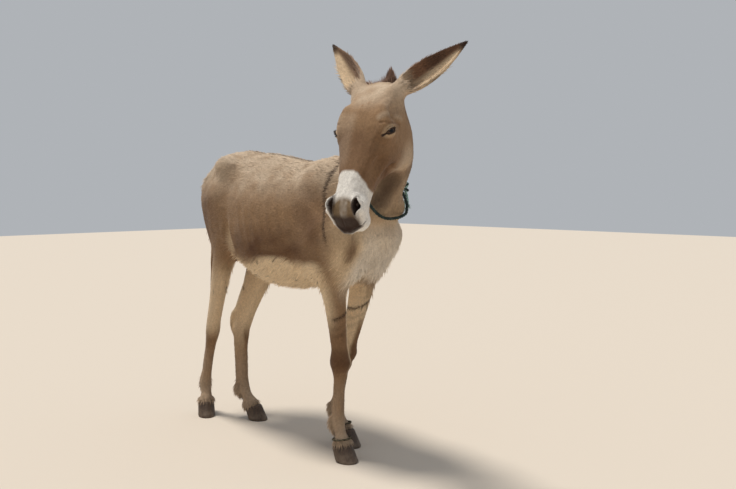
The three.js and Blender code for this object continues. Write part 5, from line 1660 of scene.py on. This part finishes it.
class DONKEY_OT_collar(bpy.types.Operator):
    """Lays the rope collar and ties its knot with frayed ends"""

    bl_idname = "donkey.collar"
    bl_label = "Lay the Collar"

    def execute(self, context):
        k = context.scene.donkey_colours
        rng = np.random.default_rng(SEED + 5)
        rope = strand_material("rope_laid", k.rope, times(k.rope, 1.5), 0.85)
        worn = strand_material("rope_worn", k.rope_pale, times(k.rope_pale, 1.3), 0.9)
        tubes = laid_rope(ring_line("collar_rope", 96), 0.0050, True)
        along = (0.0, 0.3, 0.6)
        strand_piece("collar_rope_laid", tubes, STRANDS, along, rope, ["collar_rope"])
        lo, hi = (np.array(v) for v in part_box("collar_knot"))
        centre = np.array([(lo + hi)[0] / 2, (lo + hi)[1] / 2, hi[2] - (hi - lo)[2] * 0.36])
        out = unit(np.array([0.2, 1.0, 0.1]))
        up = np.array([0.0, 0.0, 1.0])
        fore = np.cross(out, up)
        dark, pale = [], []
        a = np.linspace(0, 2 * math.pi, 30)
        for lift, tilt, wide in ((0.006, 0.5, 0.011), (-0.006, -0.6, 0.010), (0.0, 1.3, 0.0095)):
            loop = (
                centre
                + (up * (lift + math.sin(tilt) * 0.004) + out * 0.001)
                + np.cos(a)[:, None] * fore * wide
                + np.sin(a)[:, None] * (out * 0.0065 + up * 0.007 * tilt)
            )
            (pale if tilt > 1 else dark).extend(laid_rope(loop[:-1], 0.0038, True, turn_long=0.02, sides=6))
        stem = [centre + up * 0.012 + out * 0.002, centre + up * 0.022 + out * 0.003, centre + up * 0.031]
        pale.extend(laid_rope(stem, 0.0032, False, turn_long=0.02, sides=6))
        for name, lean, long in (("frayed_end_a", 0.5, 0.046), ("frayed_end_b", -0.45, 0.056)):
            t = np.linspace(0, 1, 12)[:, None]
            end = centre - up * (0.008 + long * t) + fore * (lean * 0.022 * t)
            end = end + out * (0.004 * np.sin(t * 2.5))
            pale.extend(laid_rope(end, 0.0034, False, turn_long=0.02, sides=6))
            number = 90
            tip = end[-1]
            way = unit(end[-1] - end[-3])
            spray = unit(way + rng.normal(0, 0.38, (number, 3)))
            steps = np.linspace(0, 1, 4)
            far = 0.019 * (0.5 + 0.6 * rng.random(number))
            paths = tip + spray[:, None] * (far[:, None] * steps[None])[:, :, None]
            paths[:, :, 2] -= 0.003 * (steps ** 2)[None]
            roots = unit(rng.normal(0, 1, (number, 3)))
            lock_piece(name, roots, paths, np.full(number, 0.0012), rng, worn)
        for name, tubes, along, cord, replaces in (
            ("collar_knot_wraps", dark, 0.2, rope, ["collar_knot"]),
            ("collar_knot_ends", pale, 0.4, worn, ()),
        ):
            shades = np.resize((0.3, 0.55, 0.8), len(tubes))
            strand_piece(name, tubes, shades, [along] * len(tubes), cord, replaces)
        return {"FINISHED"}


class DONKEY_OT_hobble(bpy.types.Operator):
    """Ties the hobble round the fore pasterns"""

    bl_idname = "donkey.hobble"
    bl_label = "Tie the Hobble"

    def execute(self, context):
        k = context.scene.donkey_colours
        cord = strand_material("twine_laid", k.hobble, times(k.hobble, 2.0), 0.9)

        def laid(node, line, shut):
            tubes = laid_rope(line, 0.0034, shut, turn_long=0.018, sides=6)
            strand_piece(node + "_laid", tubes, STRANDS, (0.0, 0.4, 0.8), cord, [node])

        for node in ("hobble_fore_left", "hobble_fore_right"):
            laid(node, ring_line(node, 48), True)
        p, _ = arrays_of(NODES["hobble_link"])
        c = p.mean(0)
        way = unit(np.linalg.svd(p - c, full_matrices=False)[2][0])
        s = (p - c) @ way
        line = []
        for at in np.linspace(s.min() + 0.001, s.max() - 0.001, 14):
            weight = np.exp(-(((s - at) / 0.008) ** 2))
            line.append((p * weight[:, None]).sum(0) / weight.sum())
        laid("hobble_link", line, False)
        return {"FINISHED"}


class DONKEY_OT_stage(bpy.types.Operator):
    """Sets the floor, the lights and the camera"""

    bl_idname = "donkey.stage"
    bl_label = "Set the Stage"

    def execute(self, context):
        s = context.scene.donkey_stage
        scene = context.scene
        corners = np.array([[-1, -1, 0], [1, -1, 0], [1, 1, 0], [-1, 1, 0]]) * FLOOR
        floor = solid_mesh("floor", corners, np.array([[0, 1, 2, 3]]), False)
        floor.data.materials.append(plain("floor", s.floor, 0.95))
        world = bpy.data.worlds.new("sky")
        world.use_nodes = True
        light = world.node_tree.nodes["Background"].inputs
        light["Color"].default_value = (0.86, 0.90, 0.95, 1.0)
        light["Strength"].default_value = s.sky
        scene.world = world
        sun = bpy.data.lights.new("sun", "SUN")
        sun.energy = s.sun
        sun.angle = math.radians(14)
        sun.color = (1.0, 0.95, 0.87)
        lamp = bpy.data.objects.new("sun", sun)
        scene.collection.objects.link(lamp)
        lamp.rotation_mode = "QUATERNION"
        lamp.rotation_quaternion = Vector(SUN_WAY).to_track_quat("-Z", "Y")
        cam = bpy.data.cameras.new("camera")
        cam.lens = s.lens
        cam.sensor_width = 36.0
        cam.shift_y = s.drop
        cam.clip_end = 60.0
        camera = bpy.data.objects.new("camera", cam)
        hoof = next(m for m in frame["record"]["mounts"] if m["name"] == "hoof_sole_fore_right")
        camera.location = np.array(hoof["pos_m"]) + np.array(s.eye_point)
        camera.rotation_mode = "QUATERNION"
        camera.rotation_quaternion = Vector(s.look_way).to_track_quat("-Z", "Y")
        scene.collection.objects.link(camera)
        scene.camera = camera
        scene.view_settings.view_transform = "Standard"
        return {"FINISHED"}


class DONKEY_PT_panel(bpy.types.Panel):
    """Sizes and colours of the donkey, and a button for each of its pieces"""

    bl_label = "Standing Donkey"
    bl_idname = "DONKEY_PT_panel"
    bl_space_type = "VIEW_3D"
    bl_region_type = "UI"
    bl_category = "Donkey"

    def draw(self, context):
        for name, group in GROUPS:
            box = self.layout.box()
            box.label(text=group.__name__.replace("Donkey", ""))
            for prop in group.__annotations__:
                box.prop(getattr(context.scene, name), prop)
        for op in STEPS:
            self.layout.operator(op.bl_idname)


GROUPS = [
    ("donkey_skin", DonkeySkin),
    ("donkey_head", DonkeyHead),
    ("donkey_coat", DonkeyCoat),
    ("donkey_colours", DonkeyColours),
    ("donkey_stage", DonkeyStage),
]
STEPS = [
    DONKEY_OT_skin,
    DONKEY_OT_coat,
    DONKEY_OT_long_hair,
    DONKEY_OT_mane,
    DONKEY_OT_tail,
    DONKEY_OT_eyes,
    DONKEY_OT_hooves,
    DONKEY_OT_collar,
    DONKEY_OT_hobble,
    DONKEY_OT_stage,
]


def register():
    for name, group in GROUPS:
        bpy.utils.register_class(group)
        setattr(bpy.types.Scene, name, PointerProperty(type=group))
    for cls in STEPS + [DONKEY_PT_panel]:
        bpy.utils.register_class(cls)


def unregister():
    for cls in reversed(STEPS + [DONKEY_PT_panel]):
        bpy.utils.unregister_class(cls)
    for name, group in reversed(GROUPS):
        delattr(bpy.types.Scene, name)
        bpy.utils.unregister_class(group)


def main():
    register()
    for op in STEPS:
        group, name = op.bl_idname.split(".")
        getattr(getattr(bpy.ops, group), name)()


if __name__ == "__main__":
    main()
